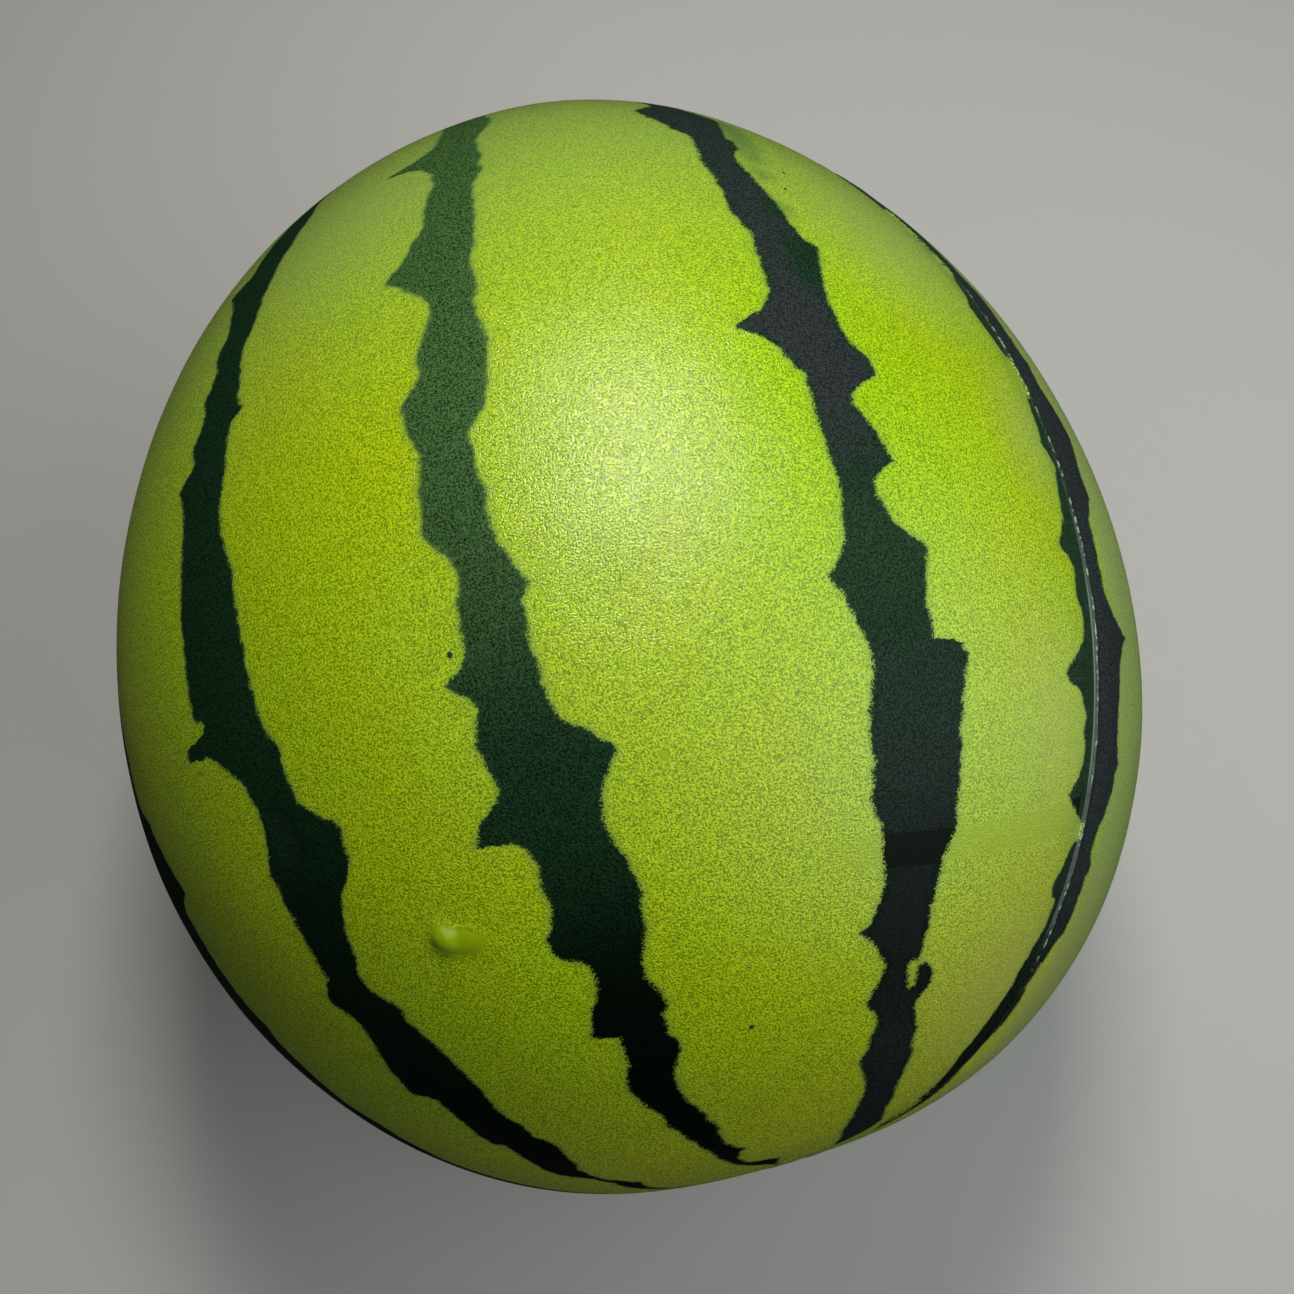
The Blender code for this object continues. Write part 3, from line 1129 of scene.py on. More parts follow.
@dataclass(frozen=True)
class SkinMaterial:
    """Builds the melon's one material: grained skin, sprayed stripes and small marks."""

    egg: Egg
    seam: PartingLine
    skin: SkinFinish = SkinFinish()
    grain: GrainFinish = GrainFinish()
    paint: PaintFinish = PaintFinish()
    bead: BeadFinish = BeadFinish()
    pattern: StripePattern = StripePattern()
    crisp_spots: tuple[Spot, ...] = ()
    spot_edge: Pair = (1.15, 0.9)
    spot_side: Pair = (0.0, 0.5)

    def build(self) -> bpy.types.Material:
        """Makes the material.

        Returns:
            Light skin, with the dark paint wherever a stripe is.
        """
        material = bpy.data.materials.new(SKIN_SLOT)
        graph = Graph(material)
        surface = self.surface(graph)
        softness = self.paint.edge_softness
        stripe = graph.step(surface.inside, -softness, softness)
        light = self.light_shader(graph, surface)
        dark = self.dark_shader(graph, surface)
        blend = graph.node("ShaderNodeMixShader", None, {0: stripe, 1: light, 2: dark})
        graph.node("ShaderNodeOutputMaterial", None, {"Surface": graph.signal(blend)})
        return material

    def surface(self, graph: Graph) -> Surface:
        """Works out everything that the shaders share.

        Args:
            graph: The material's graph.

        Returns:
            The shared signals.
        """
        coordinates = graph.node("ShaderNodeTexCoord")
        place = graph.signal(coordinates, "Object")
        attribute = graph.node("ShaderNodeAttribute", {"attribute_name": DIRECTION_NAME})
        direction = graph.signal(attribute, "Vector")

        texture = self.grain
        lumps = graph.noise(place, texture.period, texture.detail, texture.roughness)
        grain = graph.step(lumps, *texture.contrast)
        inside, shade, sprayed = self.stripe_signals(graph, place, direction)
        from_seam = self.radius() * self.along(graph, direction, self.seam.axes()[2])
        inside = self.with_bead(graph, direction, inside, from_seam)
        inside = self.bitten(graph, direction, inside)
        inside = inside + (grain - 0.5) * self.paint.edge_fuzz
        haze_gap = self.haze_gap(graph, direction)
        gloss = self.gloss(graph, direction, from_seam)
        normal = self.normal(graph, lumps, place, from_seam, gloss)
        return Surface(
            place, direction, inside, shade, sprayed, from_seam, haze_gap, gloss, grain, normal
        )

    def radius(self) -> float:
        """The melon's girth radius in mm."""
        return self.egg.girth_radius / MM

    def along(self, graph: Graph, direction: Signal, axis: np.ndarray) -> Signal:
        """The cosine between the direction and an axis."""
        parts = tuple(float(part) for part in axis)
        return graph.vector_function("DOT_PRODUCT", direction, parts, output="Value")

    def away(self, graph: Graph, direction: Signal, polar: float, longitude: float) -> Signal:
        """How far the surface is from a place on it.

        Args:
            graph: The material's graph.
            direction: The way from the melon's middle to the surface.
            polar: The place's polar angle.
            longitude: The place's longitude.

        Returns:
            The distance in mm, straight through the girth radius's sphere.
        """
        spot = tuple(float(part) for part in direction_of(polar, longitude + LONGITUDE_TO_TURN))
        distance = graph.vector_function("DISTANCE", direction, spot, output="Value")
        return distance * self.radius()

    def with_bead(
        self, graph: Graph, direction: Signal, inside: Signal, from_seam: Signal
    ) -> Signal:
        """Adds the bead, whose top is painted dark, to the stripes.

        Args:
            graph: The material's graph.
            direction: The way from the melon's middle to the surface.
            inside: How far inside the stripes the surface is.
            from_seam: How far it is from the seam.

        Returns:
            How far inside the stripes or the bead's paint it is.
        """
        bead = self.bead
        along = graph.function("ABSOLUTE", self.along(graph, direction, self.seam.axes()[0]))
        ends = graph.step(along, *bead.bare_ends) * bead.bare_ends_depth
        across = graph.function("ABSOLUTE", from_seam - bead.painted_middle)
        return graph.combine(Mode.MAXIMUM, inside, bead.painted_half_width - across - ends)

    def bitten(self, graph: Graph, direction: Signal, inside: Signal) -> Signal:
        """Takes the small bays out of the stripes.

        Args:
            graph: The material's graph.
            direction: The way from the melon's middle to the surface.
            inside: How far inside the stripes the surface is.

        Returns:
            The same, and no more than its distance outside each bay.
        """
        for bite in self.pattern.bites:
            outside = self.away(graph, direction, bite.polar, bite.longitude) - bite.radius
            inside = graph.combine(Mode.MINIMUM, inside, outside)
        return inside

    def gloss(self, graph: Graph, direction: Signal, from_seam: Signal) -> Signal:
        """How glossy the surface is.

        Args:
            graph: The material's graph.
            direction: The way from the melon's middle to the surface.
            from_seam: How far it is from the seam.

        Returns:
            1 on the bead and on the crisp spots, and 0 elsewhere.
        """
        gloss = graph.step(graph.function("ABSOLUTE", from_seam), *self.bead.gloss_edge)
        for spot in self.crisp_spots:
            length, width, out = spot.axes()
            side = self.along(graph, direction, length) * (self.radius() / spot.half_length)
            down = self.along(graph, direction, width) * (self.radius() / spot.half_width)
            away = graph.function("SQRT", side * side + down * down)
            share = graph.step(away, *self.spot_edge)
            share = share * graph.step(self.along(graph, direction, out), *self.spot_side)
            gloss = graph.combine(Mode.MAXIMUM, gloss, share)
        return gloss

    def haze_gap(self, graph: Graph, direction: Signal) -> Signal:
        """How far the surface is inside the band with the painted gap in the reflection haze.

        Args:
            graph: The material's graph.
            direction: The way from the melon's middle to the surface.

        Returns:
            1 inside the band, 0 elsewhere.
        """
        band = self.pattern.band
        across = self.along(graph, direction, band.normal()) * self.radius()
        edge = (band.half_width, band.half_width - band.edge)
        share = graph.step(graph.function("ABSOLUTE", across), *edge)
        parts = graph.node("ShaderNodeSeparateXYZ", None, {0: direction})
        side, above = graph.signal(parts, "X"), graph.signal(parts, "Z")
        turn = graph.function("ARCTAN2", side, above) * DEGREES_IN_RADIAN
        starts = graph.step(turn, band.last[1], band.last[1] + band.fade)
        ends = graph.step(turn, band.first[1] + band.edge, band.first[1] - band.edge)
        return share * starts * ends

    def stripe_signals(
        self, graph: Graph, place: Signal, direction: Signal
    ) -> tuple[Signal, Signal, Signal]:
        """Where the stripes are and what paint they have.

        The distance is the largest of all the stripes' values, each the smaller of the arcs to
        the stripe's two edges, measured round the melon.

        Args:
            graph: The material's graph.
            place: The surface's own place.
            direction: The way from the melon's middle to the surface.

        Returns:
            How far inside the nearest stripe it is, in mm and negative outside, and that
            stripe's shade and charcoal.
        """
        pattern = self.pattern
        polar, turn, arc = self.shaken_place(graph, place, direction)
        stripes = pattern.all_stripes()
        insides, shade, charcoal = [], 0.0, 0.0
        for start in range(0, len(stripes), CURVES_PER_NODE):
            some = stripes[start:start + CURVES_PER_NODE]
            lefts = tuple(pattern.turned(stripe.left) for stripe in some)
            rights = tuple(pattern.turned(stripe.right) for stripe in some)
            shades = tuple(stripe.shade for stripe in some)
            charcoals = tuple(stripe.charcoal for stripe in some)
            left = pattern.curve_signal(graph, polar, lefts, HALF_TURN)
            right = pattern.curve_signal(graph, polar, rights, HALF_TURN)
            shade_here = pattern.curve_signal(graph, polar, shades, 1)
            charcoal_here = pattern.curve_signal(graph, polar, charcoals, 1)
            from_left = graph.combine(Mode.SUBTRACT, turn, left)
            from_right = graph.combine(Mode.SUBTRACT, right, turn)
            inner = graph.combine(Mode.MINIMUM, from_left, from_right) * arc
            insides.append(inner)
            near = graph.combine(Mode.MINIMUM, inner + pattern.paint_reach, 1)
            near = graph.combine(Mode.MAXIMUM, near, 0)
            shade = shade + self.dot(graph, near, shade_here)
            charcoal = charcoal + self.dot(graph, near, charcoal_here)
        return self.largest(graph, insides), graph.combine(Mode.MINIMUM, shade, 1), charcoal

    def shaken_place(
        self, graph: Graph, place: Signal, direction: Signal
    ) -> tuple[Signal, Signal, Signal]:
        """The surface's polar angle and turn, shaken a little so that the edges are ragged.

        Args:
            graph: The material's graph.
            place: The surface's own place.
            direction: The way from the melon's middle to the surface.

        Returns:
            The polar angle, the turn, and the mm in a degree round the melon there.
        """
        pattern = self.pattern
        shake = graph.noise(
            place, pattern.jitter_period, detail=3, roughness=0.62, output="Color"
        )
        reach = 2 * pattern.jitter / self.egg.girth_radius
        moved = direction + (shake - 0.5) * reach
        shaken = graph.vector_function("NORMALIZE", moved, output="Vector")
        parts = graph.node("ShaderNodeSeparateXYZ", None, {0: shaken})
        across, along, above = (graph.signal(parts, name) for name in ("X", "Y", "Z"))
        polar = graph.function("ARCCOSINE", along) * DEGREES_IN_RADIAN
        turn = graph.function("ARCTAN2", across, above) * DEGREES_IN_RADIAN
        side = graph.function("SQRT", 1 - along * along)
        fall = 1 - self.egg.blossom_fullness * along - self.egg.shoulder_fall * (along * along)
        mm_in_degree = side * fall * (self.radius() / DEGREES_IN_RADIAN)
        return polar, turn, mm_in_degree

    def dot(self, graph: Graph, first: Signal, second: Signal) -> Signal:
        """The dot product of two vectors."""
        return graph.vector_function("DOT_PRODUCT", first, second, output="Value")

    def largest(self, graph: Graph, vectors: list[Signal]) -> Signal:
        """The largest number in several vectors.

        Args:
            graph: The material's graph.
            vectors: The vectors.

        Returns:
            One number.
        """
        total = vectors[0]
        for vector in vectors[1:]:
            total = graph.combine(Mode.MAXIMUM, total, vector)
        parts = graph.node("ShaderNodeSeparateXYZ", None, {0: total})
        first, second, third = (graph.signal(parts, index) for index in range(3))
        return graph.combine(Mode.MAXIMUM, graph.combine(Mode.MAXIMUM, first, second), third)

    def normal(
        self, graph: Graph, lumps: Signal, place: Signal, from_seam: Signal, gloss: Signal
    ) -> Signal:
        """The bumped normal of the grain, which fades where it is glossy, and the ragged bead.

        Args:
            graph: The material's graph.
            lumps: The grain's own lumps.
            place: The surface's own place.
            from_seam: How far it is from the seam.
            gloss: How glossy it is.

        Returns:
            The normal.
        """
        texture = self.grain
        ragged = graph.noise(place, texture.ragged_period, detail=2, roughness=0.7)
        beside = graph.step(from_seam, *texture.ragged_start)
        beside = beside * graph.step(from_seam, *texture.ragged_end)
        height = lumps * texture.lump_gain * (1.0 - gloss * texture.glossy_loss)
        height = height + ragged * beside * texture.ragged_gain
        inputs = {"Strength": 1.0, "Distance": texture.height, "Height": height}
        return graph.signal(graph.node("ShaderNodeBump", None, inputs))

    def marked(
        self, graph: Graph, direction: Signal, colour: Signal, mists: tuple[Mist, ...]
    ) -> Signal:
        """A colour with soft round patches laid over it in turn.

        Args:
            graph: The material's graph.
            direction: The way from the melon's middle to the surface.
            colour: The colour under the patches.
            mists: The patches.

        Returns:
            The colour, turned into each patch's own towards its middle.
        """
        for mist in mists:
            away = self.away(graph, direction, mist.polar, mist.longitude)
            share = graph.step(away, mist.half_size, 0.0) * mist.strength
            colour = graph.mix(share, colour, mist.colour)
        return colour

    def light_colour(self, graph: Graph, surface: Surface) -> Signal:
        """The light green with its cloudy tone, pale halo, dust, painted reflection hazes, mists
        and specks, and a painted haze that also darkens it towards the stem end.

        Args:
            graph: The material's graph.
            surface: The shared signals.

        Returns:
            The colour.
        """
        skin, direction, from_seam = self.skin, surface.direction, surface.from_seam
        gloss, haze_gap = surface.gloss, surface.haze_gap
        grain = graph.mix_numbers(gloss, surface.grain, skin.glossy_grain)
        grain = graph.mix_numbers(haze_gap * skin.haze_gap_grain_share, grain, skin.haze_gap_grain)
        colour = graph.mix(grain, skin.low_green, skin.bright_green)

        clouds = graph.noise(surface.place, skin.cloud_period, detail=3, roughness=0.6)
        cloudy = graph.step(clouds, *skin.cloud_range)
        tint = graph.mix(cloudy, skin.yellow_tint, skin.blue_tint)
        low = self.along(graph, direction, np.array((0.0, -1.0, 0.0)))
        tint = graph.mix(graph.step(low, *skin.olive_range), tint, skin.olive_tint)
        tint = self.marked(graph, direction, tint, self.pattern.tinges)
        # Takes the blue out in the band and on glossy places: painted loss of the reflection haze.
        smooth = graph.combine(Mode.MAXIMUM, haze_gap, gloss * skin.glossy_tint_share)
        tint = graph.mix(smooth, tint, skin.painted_no_haze_tint)
        colour = graph.combine(Mode.MULTIPLY, colour, tint)

        halo = graph.step(surface.inside, *skin.halo_range) * skin.halo_strength
        beside_seam = graph.step(from_seam, *skin.seam_halo_range)
        beside_seam = beside_seam * graph.step(from_seam, *skin.seam_halo_end)
        beside_seam = beside_seam * skin.seam_halo_strength
        colour = graph.mix(
            graph.combine(Mode.MAXIMUM, halo, beside_seam), colour, skin.halo_green
        )
        dusty = graph.step(from_seam, *skin.dust_range) * graph.step(from_seam, *skin.dust_end)
        colour = graph.mix(dusty * skin.dust_strength, colour, skin.dust)
        # Painted reflection haze towards the stem end, which also darkens the colour there.
        painted_haze = graph.step(low, *skin.painted_end_haze_range) * skin.painted_end_haze_strength
        colour = graph.mix(painted_haze, colour, skin.painted_end_haze)
        # Lays on the painted reflection hazes, then the mists.
        colour = self.marked(
            graph, direction, colour, self.pattern.painted_reflection_hazes + self.pattern.mists
        )
        for speck in self.pattern.specks:
            away = self.away(graph, direction, speck.polar, speck.longitude)
            share = graph.step(away, speck.radius, speck.radius * 0.5)
            colour = graph.mix(share, colour, speck.colour)
        return colour

    def light_shader(self, graph: Graph, surface: Surface) -> Signal:
        """The light green skin.

        Args:
            graph: The material's graph.
            surface: The shared signals.

        Returns:
            The shader.
        """
        skin = self.skin
        inputs = {
            "Base Color": self.light_colour(graph, surface),
            "Roughness": graph.mix_numbers(surface.haze_gap, skin.roughness, skin.haze_gap_roughness),
            "Specular IOR Level": skin.specular,
            "Sheen Weight": skin.sheen,
            "Sheen Roughness": skin.sheen_roughness,
            "Coat Weight": surface.gloss,
            "Coat Roughness": skin.coat_roughness,
            "Normal": surface.normal,
        }
        return graph.signal(graph.node("ShaderNodeBsdfPrincipled", None, inputs))

    def charcoal_share(self, graph: Graph, surface: Surface) -> Signal:
        """How much soft-edged charcoal lies on the stripes.

        Args:
            graph: The material's graph.
            surface: The shared signals.

        Returns:
            From 0 for none to 1 where it hides the green.
        """
        paint = self.paint
        spray = graph.noise(surface.place, paint.spray_period, detail=2, roughness=0.7)
        spray = (spray - 0.5) * paint.spray_reach
        uneven = spray * paint.spray_unevenness + (surface.grain - 0.5) * paint.spray_grain
        covered = graph.step(surface.inside + spray, *paint.charcoal_rim)
        covered = covered * graph.step(surface.sprayed + uneven, *paint.charcoal_shares)
        for clearing in self.pattern.clearings:
            away = self.away(graph, surface.direction, clearing.polar, clearing.longitude)
            cleared = graph.step(away, clearing.half_size, 0.0) * clearing.strength
            covered = covered * (1.0 - cleared)
        beside_seam = graph.step(surface.from_seam, *paint.seam_charcoal_start)
        beside_seam = beside_seam * graph.step(surface.from_seam, *paint.seam_charcoal_end)
        beside_seam = beside_seam * graph.step(surface.inside, *paint.seam_charcoal_rim)
        return graph.combine(Mode.MAXIMUM, covered, beside_seam)

    def dark_shader(self, graph: Graph, surface: Surface) -> Signal:
        """The stripes' paint: speckled green that darkens to black, and charcoal over it.

        Args:
            graph: The material's graph.
            surface: The shared signals.

        Returns:
            The shader.
        """
        paint, grain = self.paint, surface.grain
        bottle = graph.mix(grain, paint.bottle_green, paint.bottle_speckle)
        dark = graph.mix(grain, paint.dark_green, paint.dark_speckle)
        black = graph.mix(grain, paint.black, paint.black_speckle)
        blackness = graph.step(surface.shade, *paint.black_shades)
        green = graph.mix(graph.step(surface.shade, *paint.dark_shades), bottle, dark)
        green = graph.mix(blackness, green, black)
        charcoal = graph.mix(grain, paint.charcoal, paint.charcoal_speckle)
        blackened = blackness * paint.charcoal_blackening
        charcoal = graph.mix(blackened, charcoal, paint.black_speckle)
        colour = graph.mix(self.charcoal_share(graph, surface), green, charcoal)
        # Darkens the paint in the band: a painted gap in the reflection haze.
        colour = graph.mix(surface.haze_gap * paint.haze_gap_darkening, colour, paint.black)
        inputs = {
            "Base Color": self.bead_wear_and_painted_glints(graph, surface, colour),
            "Roughness": paint.roughness,
            "Specular IOR Level": paint.specular,
            "Coat Weight": surface.gloss,
            "Coat Roughness": self.skin.coat_roughness,
            "Normal": surface.normal,
        }
        return graph.signal(graph.node("ShaderNodeBsdfPrincipled", None, inputs))

    def bead_wear_and_painted_glints(self, graph: Graph, surface: Surface, colour: Signal) -> Signal:
        """Paints the bead's near side: a thin pale line at its foot, of worn paint and painted
        highlight, and painted highlight dots on its edge.

        Args:
            graph: The material's graph.
            surface: The shared signals.
            colour: The paint's colour.

        Returns:
            The colour with the line and the dots.
        """
        bead, place, from_seam = self.bead, surface.place, surface.from_seam
        along = self.along(graph, surface.direction, self.seam.axes()[0])
        breaks = graph.noise(place, bead.break_period, detail=2, roughness=0.6)
        from_line = graph.function("ABSOLUTE", from_seam - bead.line_place)
        line = graph.step(from_line, *bead.line_edge) * graph.step(breaks, *bead.line_breaks)
        line = line * graph.step(along, *bead.line_start) * graph.step(along, *bead.line_end)
        dots = graph.noise(place, bead.dot_period, detail=1, roughness=0.5)
        from_dots = graph.function("ABSOLUTE", from_seam - bead.dots_place)
        dotted = graph.step(from_dots, *bead.dots_edge) * graph.step(dots, *bead.dot_sizes)
        dotted = dotted * graph.step(breaks, *bead.dots_breaks)
        dotted = dotted * graph.step(along, *bead.dots_start) * graph.step(along, *bead.dots_end)
        # The line is worn paint with a painted highlight; the dots are painted highlights.
        colour = graph.mix(line * bead.line_strength, colour, bead.worn_and_glint_green)
        return graph.mix(dotted * bead.dots_strength, colour, bead.painted_glint_white)


@dataclass
class MelonSkin:
    """The melon's visible body, finer than the solid that it stands for."""

    egg: Egg = field(default_factory=Egg)
    seam: PartingLine = field(default_factory=PartingLine)
    steps_round: int = 496
    crowded_rings: tuple[float, ...] = (
        0.25, 0.5, 0.75, 1.0, 1.25, 1.5, 1.75, 2.0, 2.4, 2.8, 3.4, 4.2, 5.2, 6.4,
    )
    even_rings: int = 72
    blister: Spot = Spot(121.2, -27.2, 4.9, 2.3, height=0.00050, slant=18.0, crisp=True)
    other_spots: tuple[Spot, ...] = (
        Spot(120.5, -28.5, 2.1, 2.3, height=0.00080, crisp=True),
        Spot(112.4, -2.6, 0.9, 0.9, height=0.00045, crisp=True),
        Spot(101.2, -4.0, 7.0, 5.0, height=-0.00025),
        Spot(108.8, -40.4, 3.2, 4.6, height=-0.00030, crisp=True),
    )
    blister_reach: float = 4.6
    blister_rings: int = 25

    def ring_angles(self) -> np.ndarray:
        """The rings' angles from the seam's plane.

        Returns:
            Radians, without the poles: crowded at the seam on both sides, and again where they
            pass the blister.
        """
        radius = self.egg.girth_radius / MM
        beside = np.arcsin(np.array(self.crowded_rings) / radius)
        even = np.linspace(beside[-1], np.pi / 2, self.even_rings + 1)[1:-1]
        half = np.concatenate((beside, even))
        blister = direction_of(self.blister.polar, self.blister.turn)
        middle = math.asin(self.seam.axes()[2] @ blister)
        reach = self.blister_reach / radius
        fine = np.linspace(middle - reach, middle + reach, self.blister_rings)
        rings = np.concatenate((-half[::-1], (0.0,), half))
        coarse = rings[np.abs(rings - middle) > reach]
        return np.sort(np.concatenate((coarse, fine)))

    def directions(self) -> tuple[np.ndarray, np.ndarray]:
        """The grid of directions.

        Returns:
            The unit vectors, ring by ring and then the two poles, and their round angles. With b
            for a ring's angle and c for the round angle, a direction is cos b cos c of the
            tilted long axis, cos b sin c of the seam's middle and sin b of its normal.
        """
        rings = self.ring_angles()
        rounds = np.arange(self.steps_round) * (2 * np.pi / self.steps_round)
        ring, turn = (grid.ravel() for grid in np.meshgrid(rings, rounds, indexing="ij"))
        side = np.cos(ring)
        local = np.stack((side * np.cos(turn), side * np.sin(turn), np.sin(ring)), 1)
        local = np.vstack((local, (0, 0, -1), (0, 0, 1)))
        return local @ self.seam.axes(), np.append(turn, (0.0, 0.0))

    def spots(self) -> tuple[Spot, ...]:
        """All the small spots."""
        return (self.blister, *self.other_spots)

    def spot_height(self, direction: np.ndarray) -> np.ndarray:
        """The small spots' lift.

        Args:
            direction: Unit vectors, one per row.

        Returns:
            With r for the distance from a spot's middle in its half sizes: height times
            exp(-r^2), or exp(-r^4) for a crisp one.
        """
        height = np.zeros(len(direction))
        radius = self.egg.girth_radius / MM
        for spot in self.spots():
            length, width, out = (direction @ axis for axis in spot.axes())
            away = np.hypot(length * radius / spot.half_length, width * radius / spot.half_width)
            power = 4 if spot.crisp else 2
            height += (out > 0) * spot.height * np.exp(-(away**power))
        return height

    def surface(self) -> tuple[np.ndarray, np.ndarray]:
        """The finished surface.

        Returns:
            The egg's points, lifted along themselves and cut level at the flat spot, and their
            directions.
        """
        direction, round_angle = self.directions()
        points = self.egg.points(direction)
        from_seam = self.egg.girth_radius * (direction @ self.seam.axes()[2])
        lift = self.egg.swell_height(direction) + self.egg.waves(direction)
        lift += self.seam.height(from_seam, round_angle) + self.spot_height(direction)
        points = points * (1 + lift / np.linalg.norm(points, axis=1))[:, None]
        points[:, 2] = np.maximum(points[:, 2], points[:, 2].min() + self.egg.flat_depth)
        return points, direction

    def faces(self) -> list[tuple[int, ...]]:
        """The surface's faces.

        Returns:
            Quads between neighbouring rings and steps, and a fan of triangles at each pole.
        """
        rings = len(self.ring_angles())
        steps = self.steps_round
        index = np.arange(rings * steps).reshape(rings, steps)
        after = np.roll(index, -1, axis=1)
        quads = np.stack((index[:-1], after[:-1], after[1:], index[1:]), axis=-1).reshape(-1, 4)
        low_pole, high_pole = np.full(steps, rings * steps), np.full(steps, rings * steps + 1)
        low_fan = np.stack((low_pole, after[0], index[0]), axis=1)
        high_fan = np.stack((high_pole, index[-1], after[-1]), axis=1)
        return quads.tolist() + low_fan.tolist() + high_fan.tolist()

    def middle(self, points: np.ndarray) -> np.ndarray:
        """The egg's middle in the row frame, whose origin is under the body's box."""
        low, high = points.min(axis=0), points.max(axis=0)
        return -np.array(((low[0] + high[0]) / 2, (low[1] + high[1]) / 2, low[2]))

    def build(self) -> tuple[bpy.types.Object, np.ndarray]:
        """Makes the skin.

        Returns:
            The object that stands for the CAD node, and where its egg's middle lies.
        """
        points, direction = self.surface()
        middle = self.middle(points)
        mesh = bpy.data.meshes.new("melon_skin")
        mesh.from_pydata((points + middle).tolist(), [], self.faces())
        attribute = mesh.attributes.new(DIRECTION_NAME, "FLOAT_VECTOR", "POINT")
        attribute.data.foreach_set("vector", direction.astype(np.float32).ravel())
        mesh.shade_smooth()
        crisp_spots = tuple(spot for spot in self.spots() if spot.crisp)
        mesh.materials.append(SkinMaterial(self.egg, self.seam, crisp_spots=crisp_spots).build())
        skin = bpy.data.objects.new("melon_skin", mesh)
        bpy.context.scene.collection.objects.link(skin)
        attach(skin, "root")
        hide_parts(CAD_NODE)
        return skin, middle


@dataclass(frozen=True)
class PhotoCamera:
    """The camera that looks down at the melon as the photo does.

    The distances that end in px are in the photo's own pixels, 1294 across, at the melon.
    """

    azimuth: float = -15.2
    elevation: float = 73.6
    photo_side_px: float = 1294.0
    distance_px: float = 1500.0
    girth_radius_px: float = 476.289
    middle_right_px: float = -25.92
    middle_up_px: float = 7.04
    sensor_width_mm: float = 36.0
    nearest: float = 0.01
    farthest: float = 20.0

    def axes(self) -> tuple[Vector, Vector, Vector]:
        """The camera's axes.

        Returns:
            The ways to the right and up in the picture, and from the melon to the camera.
        """
        turn, lift = math.radians(self.azimuth), math.radians(self.elevation)
        right = Vector((math.cos(turn), math.sin(turn), 0))
        toward = Vector((
            math.sin(turn) * math.cos(lift), -math.cos(turn) * math.cos(lift), math.sin(lift)
        ))
        return right, toward.cross(right), toward

    def build(self, egg: Egg, middle: np.ndarray) -> None:
        """Makes the scene's camera.

        Args:
            egg: The melon's shape, whose girth gives the pixels their size.
            middle: Where the egg's middle lies.
        """
        right, up, toward = self.axes()
        pixel = egg.girth_radius / self.girth_radius_px
        offset = toward * self.distance_px - right * self.middle_right_px - up * self.middle_up_px
        data = bpy.data.cameras.new("photo_camera")
        data.sensor_width = self.sensor_width_mm
        data.lens = self.sensor_width_mm * self.distance_px / self.photo_side_px
        data.clip_start, data.clip_end = self.nearest, self.farthest
        camera = bpy.data.objects.new("photo_camera", data)
        turn = Matrix((right, up, toward)).transposed().to_4x4()
        camera.matrix_world = Matrix.Translation(Vector(middle) + offset * pixel) @ turn
        bpy.context.scene.collection.objects.link(camera)
        bpy.context.scene.camera = camera


@dataclass(frozen=True)
class SoftPanel:
    """A square studio light that faces the melon."""

    name: str
    azimuth: float
    elevation: float
    distance: float
    side: float
    power: float
    colour: Colour = (1.0, 1.0, 1.0)

    def build(self, target: Vector) -> None:
        """Hangs the light at its distance from the target and aims it there.

        Args:
            target: The place that it faces.
        """
        data = bpy.data.lights.new(self.name, "AREA")
        data.shape = "SQUARE"
        data.size = self.side
        data.energy = self.power
        data.color = self.colour
        light = bpy.data.objects.new(self.name, data)
        turn, lift = math.radians(self.azimuth), math.radians(self.elevation)
        away = Vector((
            math.sin(turn) * math.cos(lift), -math.cos(turn) * math.cos(lift), math.sin(lift)
        ))
        light.location = target + away * self.distance
        light.visible_camera = False
        light.rotation_mode = "QUATERNION"
        light.rotation_quaternion = away.to_track_quat("Z", "Y")
        bpy.context.scene.collection.objects.link(light)


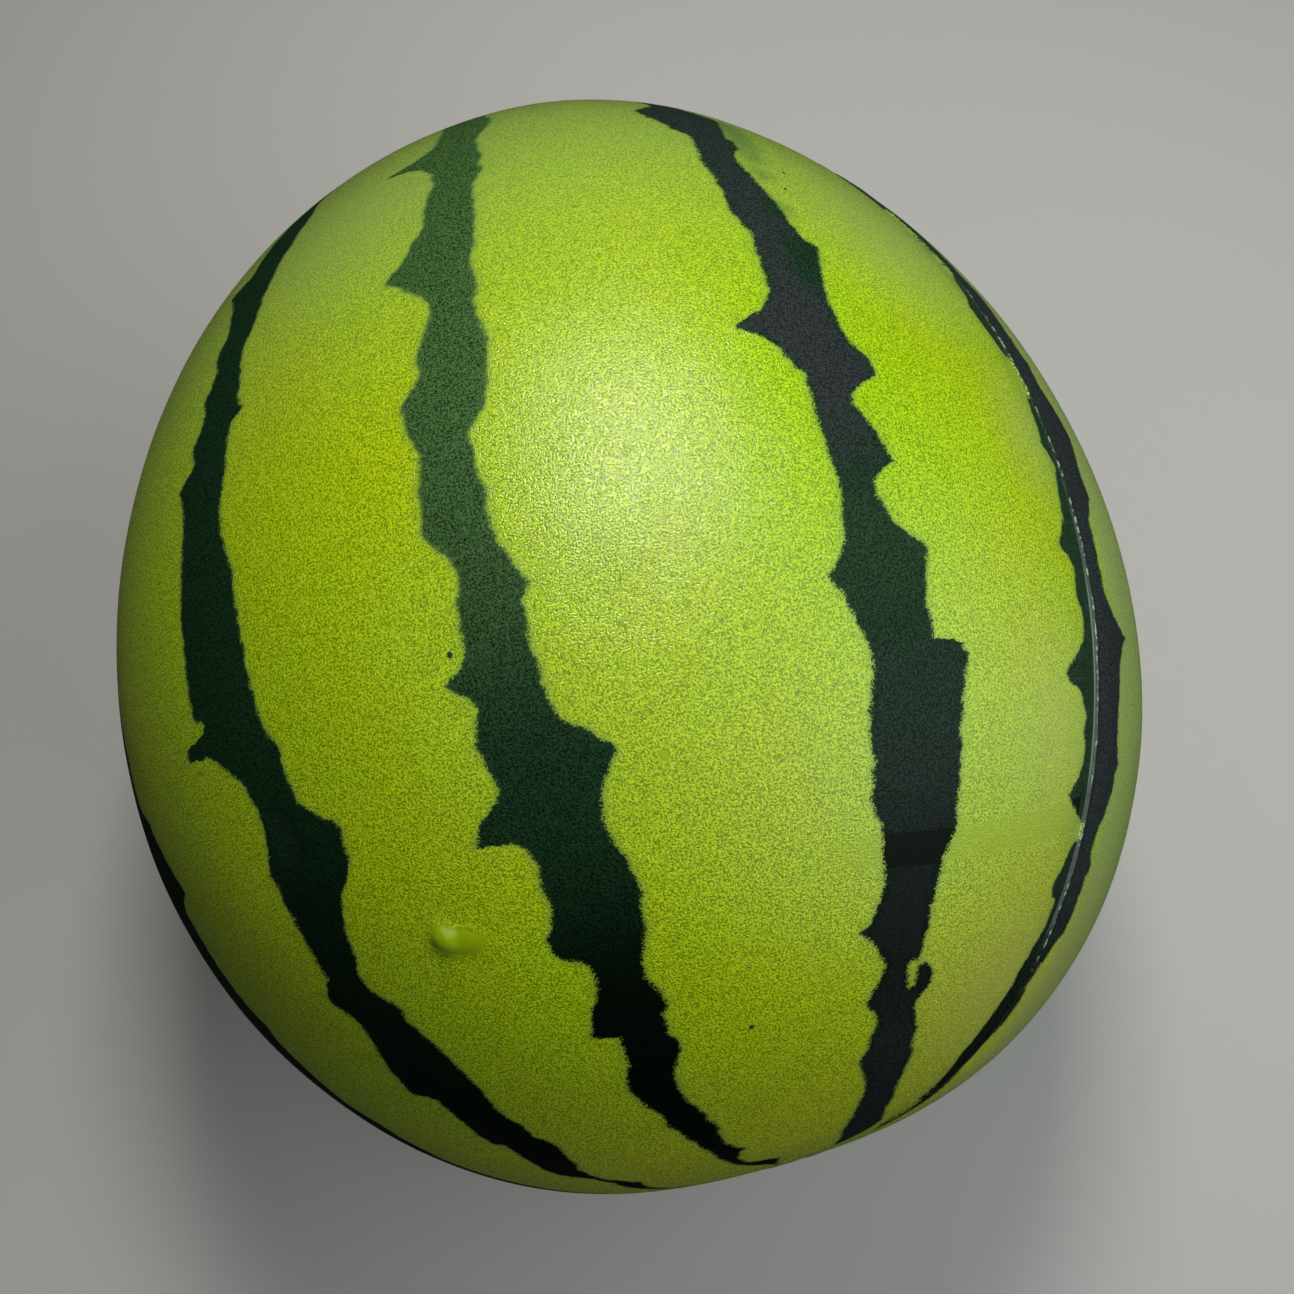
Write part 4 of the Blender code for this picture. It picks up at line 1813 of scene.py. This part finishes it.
@dataclass(frozen=True)
class Studio:
    """A plain pale floor, soft panels and a dim even surround."""

    floor_half_side: float = 3.0
    floor_colour: Colour = (0.60, 0.60, 0.60)
    floor_roughness: float = 0.9
    surround_colour: Colour = (1.0, 1.0, 1.0)
    surround_strength: float = 0.015
    panels: tuple[SoftPanel, ...] = (
        SoftPanel("key", 162, 67, distance=0.55, side=0.14, power=1.78, colour=(1.0, 0.96, 0.88)),
        SoftPanel(
            "right_window", 60, 36, distance=0.75, side=0.90, power=3.4, colour=(0.95, 0.99, 1.0)
        ),
        SoftPanel(
            "left_fill", -60, 72, distance=1.0, side=0.8, power=1.0, colour=(1.0, 0.99, 0.94)
        ),
    )

    def build_floor(self) -> None:
        """Lays the floor level with the melon's flat spot."""
        far = self.floor_half_side
        mesh = bpy.data.meshes.new("floor")
        corners = [(-far, -far, 0), (far, -far, 0), (far, far, 0), (-far, far, 0)]
        mesh.from_pydata(corners, [], [(0, 1, 2, 3)])
        material = bpy.data.materials.new("pale_floor")
        graph = Graph(material)
        shader = graph.node(
            "ShaderNodeBsdfPrincipled",
            None,
            {
                "Base Color": self.floor_colour,
                "Roughness": self.floor_roughness,
                "Specular IOR Level": 0.0,
            },
        )
        graph.node("ShaderNodeOutputMaterial", None, {"Surface": graph.signal(shader)})
        mesh.materials.append(material)
        floor = bpy.data.objects.new("floor", mesh)
        bpy.context.scene.collection.objects.link(floor)
        floor.visible_glossy = False

    def build_surround(self) -> None:
        """Sets the world's even light, and shows the picture's colours as they are."""
        world = bpy.data.worlds.new("surround")
        world.use_nodes = True
        background = world.node_tree.nodes["Background"]
        background.inputs["Color"].default_value = (*self.surround_colour, 1.0)
        background.inputs["Strength"].default_value = self.surround_strength
        bpy.context.scene.world = world
        bpy.context.scene.view_settings.view_transform = "Standard"

    def build(self, middle: np.ndarray) -> None:
        """Makes the whole studio.

        Args:
            middle: The melon's middle, which the panels face.
        """
        self.build_floor()
        self.build_surround()
        for panel in self.panels:
            panel.build(Vector(middle))


def corners(bounds: tuple[Vector, Vector]) -> list[list[float]]:
    """A box's two corners as plain lists."""
    return [list(corner) for corner in bounds]


def main() -> None:
    """Builds the melon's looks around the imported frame, piece by piece."""
    logging.basicConfig(level=logging.INFO, format="%(name)s: %(message)s")
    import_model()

    melon = MelonSkin()
    skin, middle = melon.build()
    LOG.info("skin: %d vertices", len(skin.data.vertices))

    Studio().build(middle)
    LOG.info("studio: floor, surround and panels")

    PhotoCamera().build(melon.egg, middle)
    LOG.info("camera at the photo's angle")


if __name__ == "__main__":
    main()
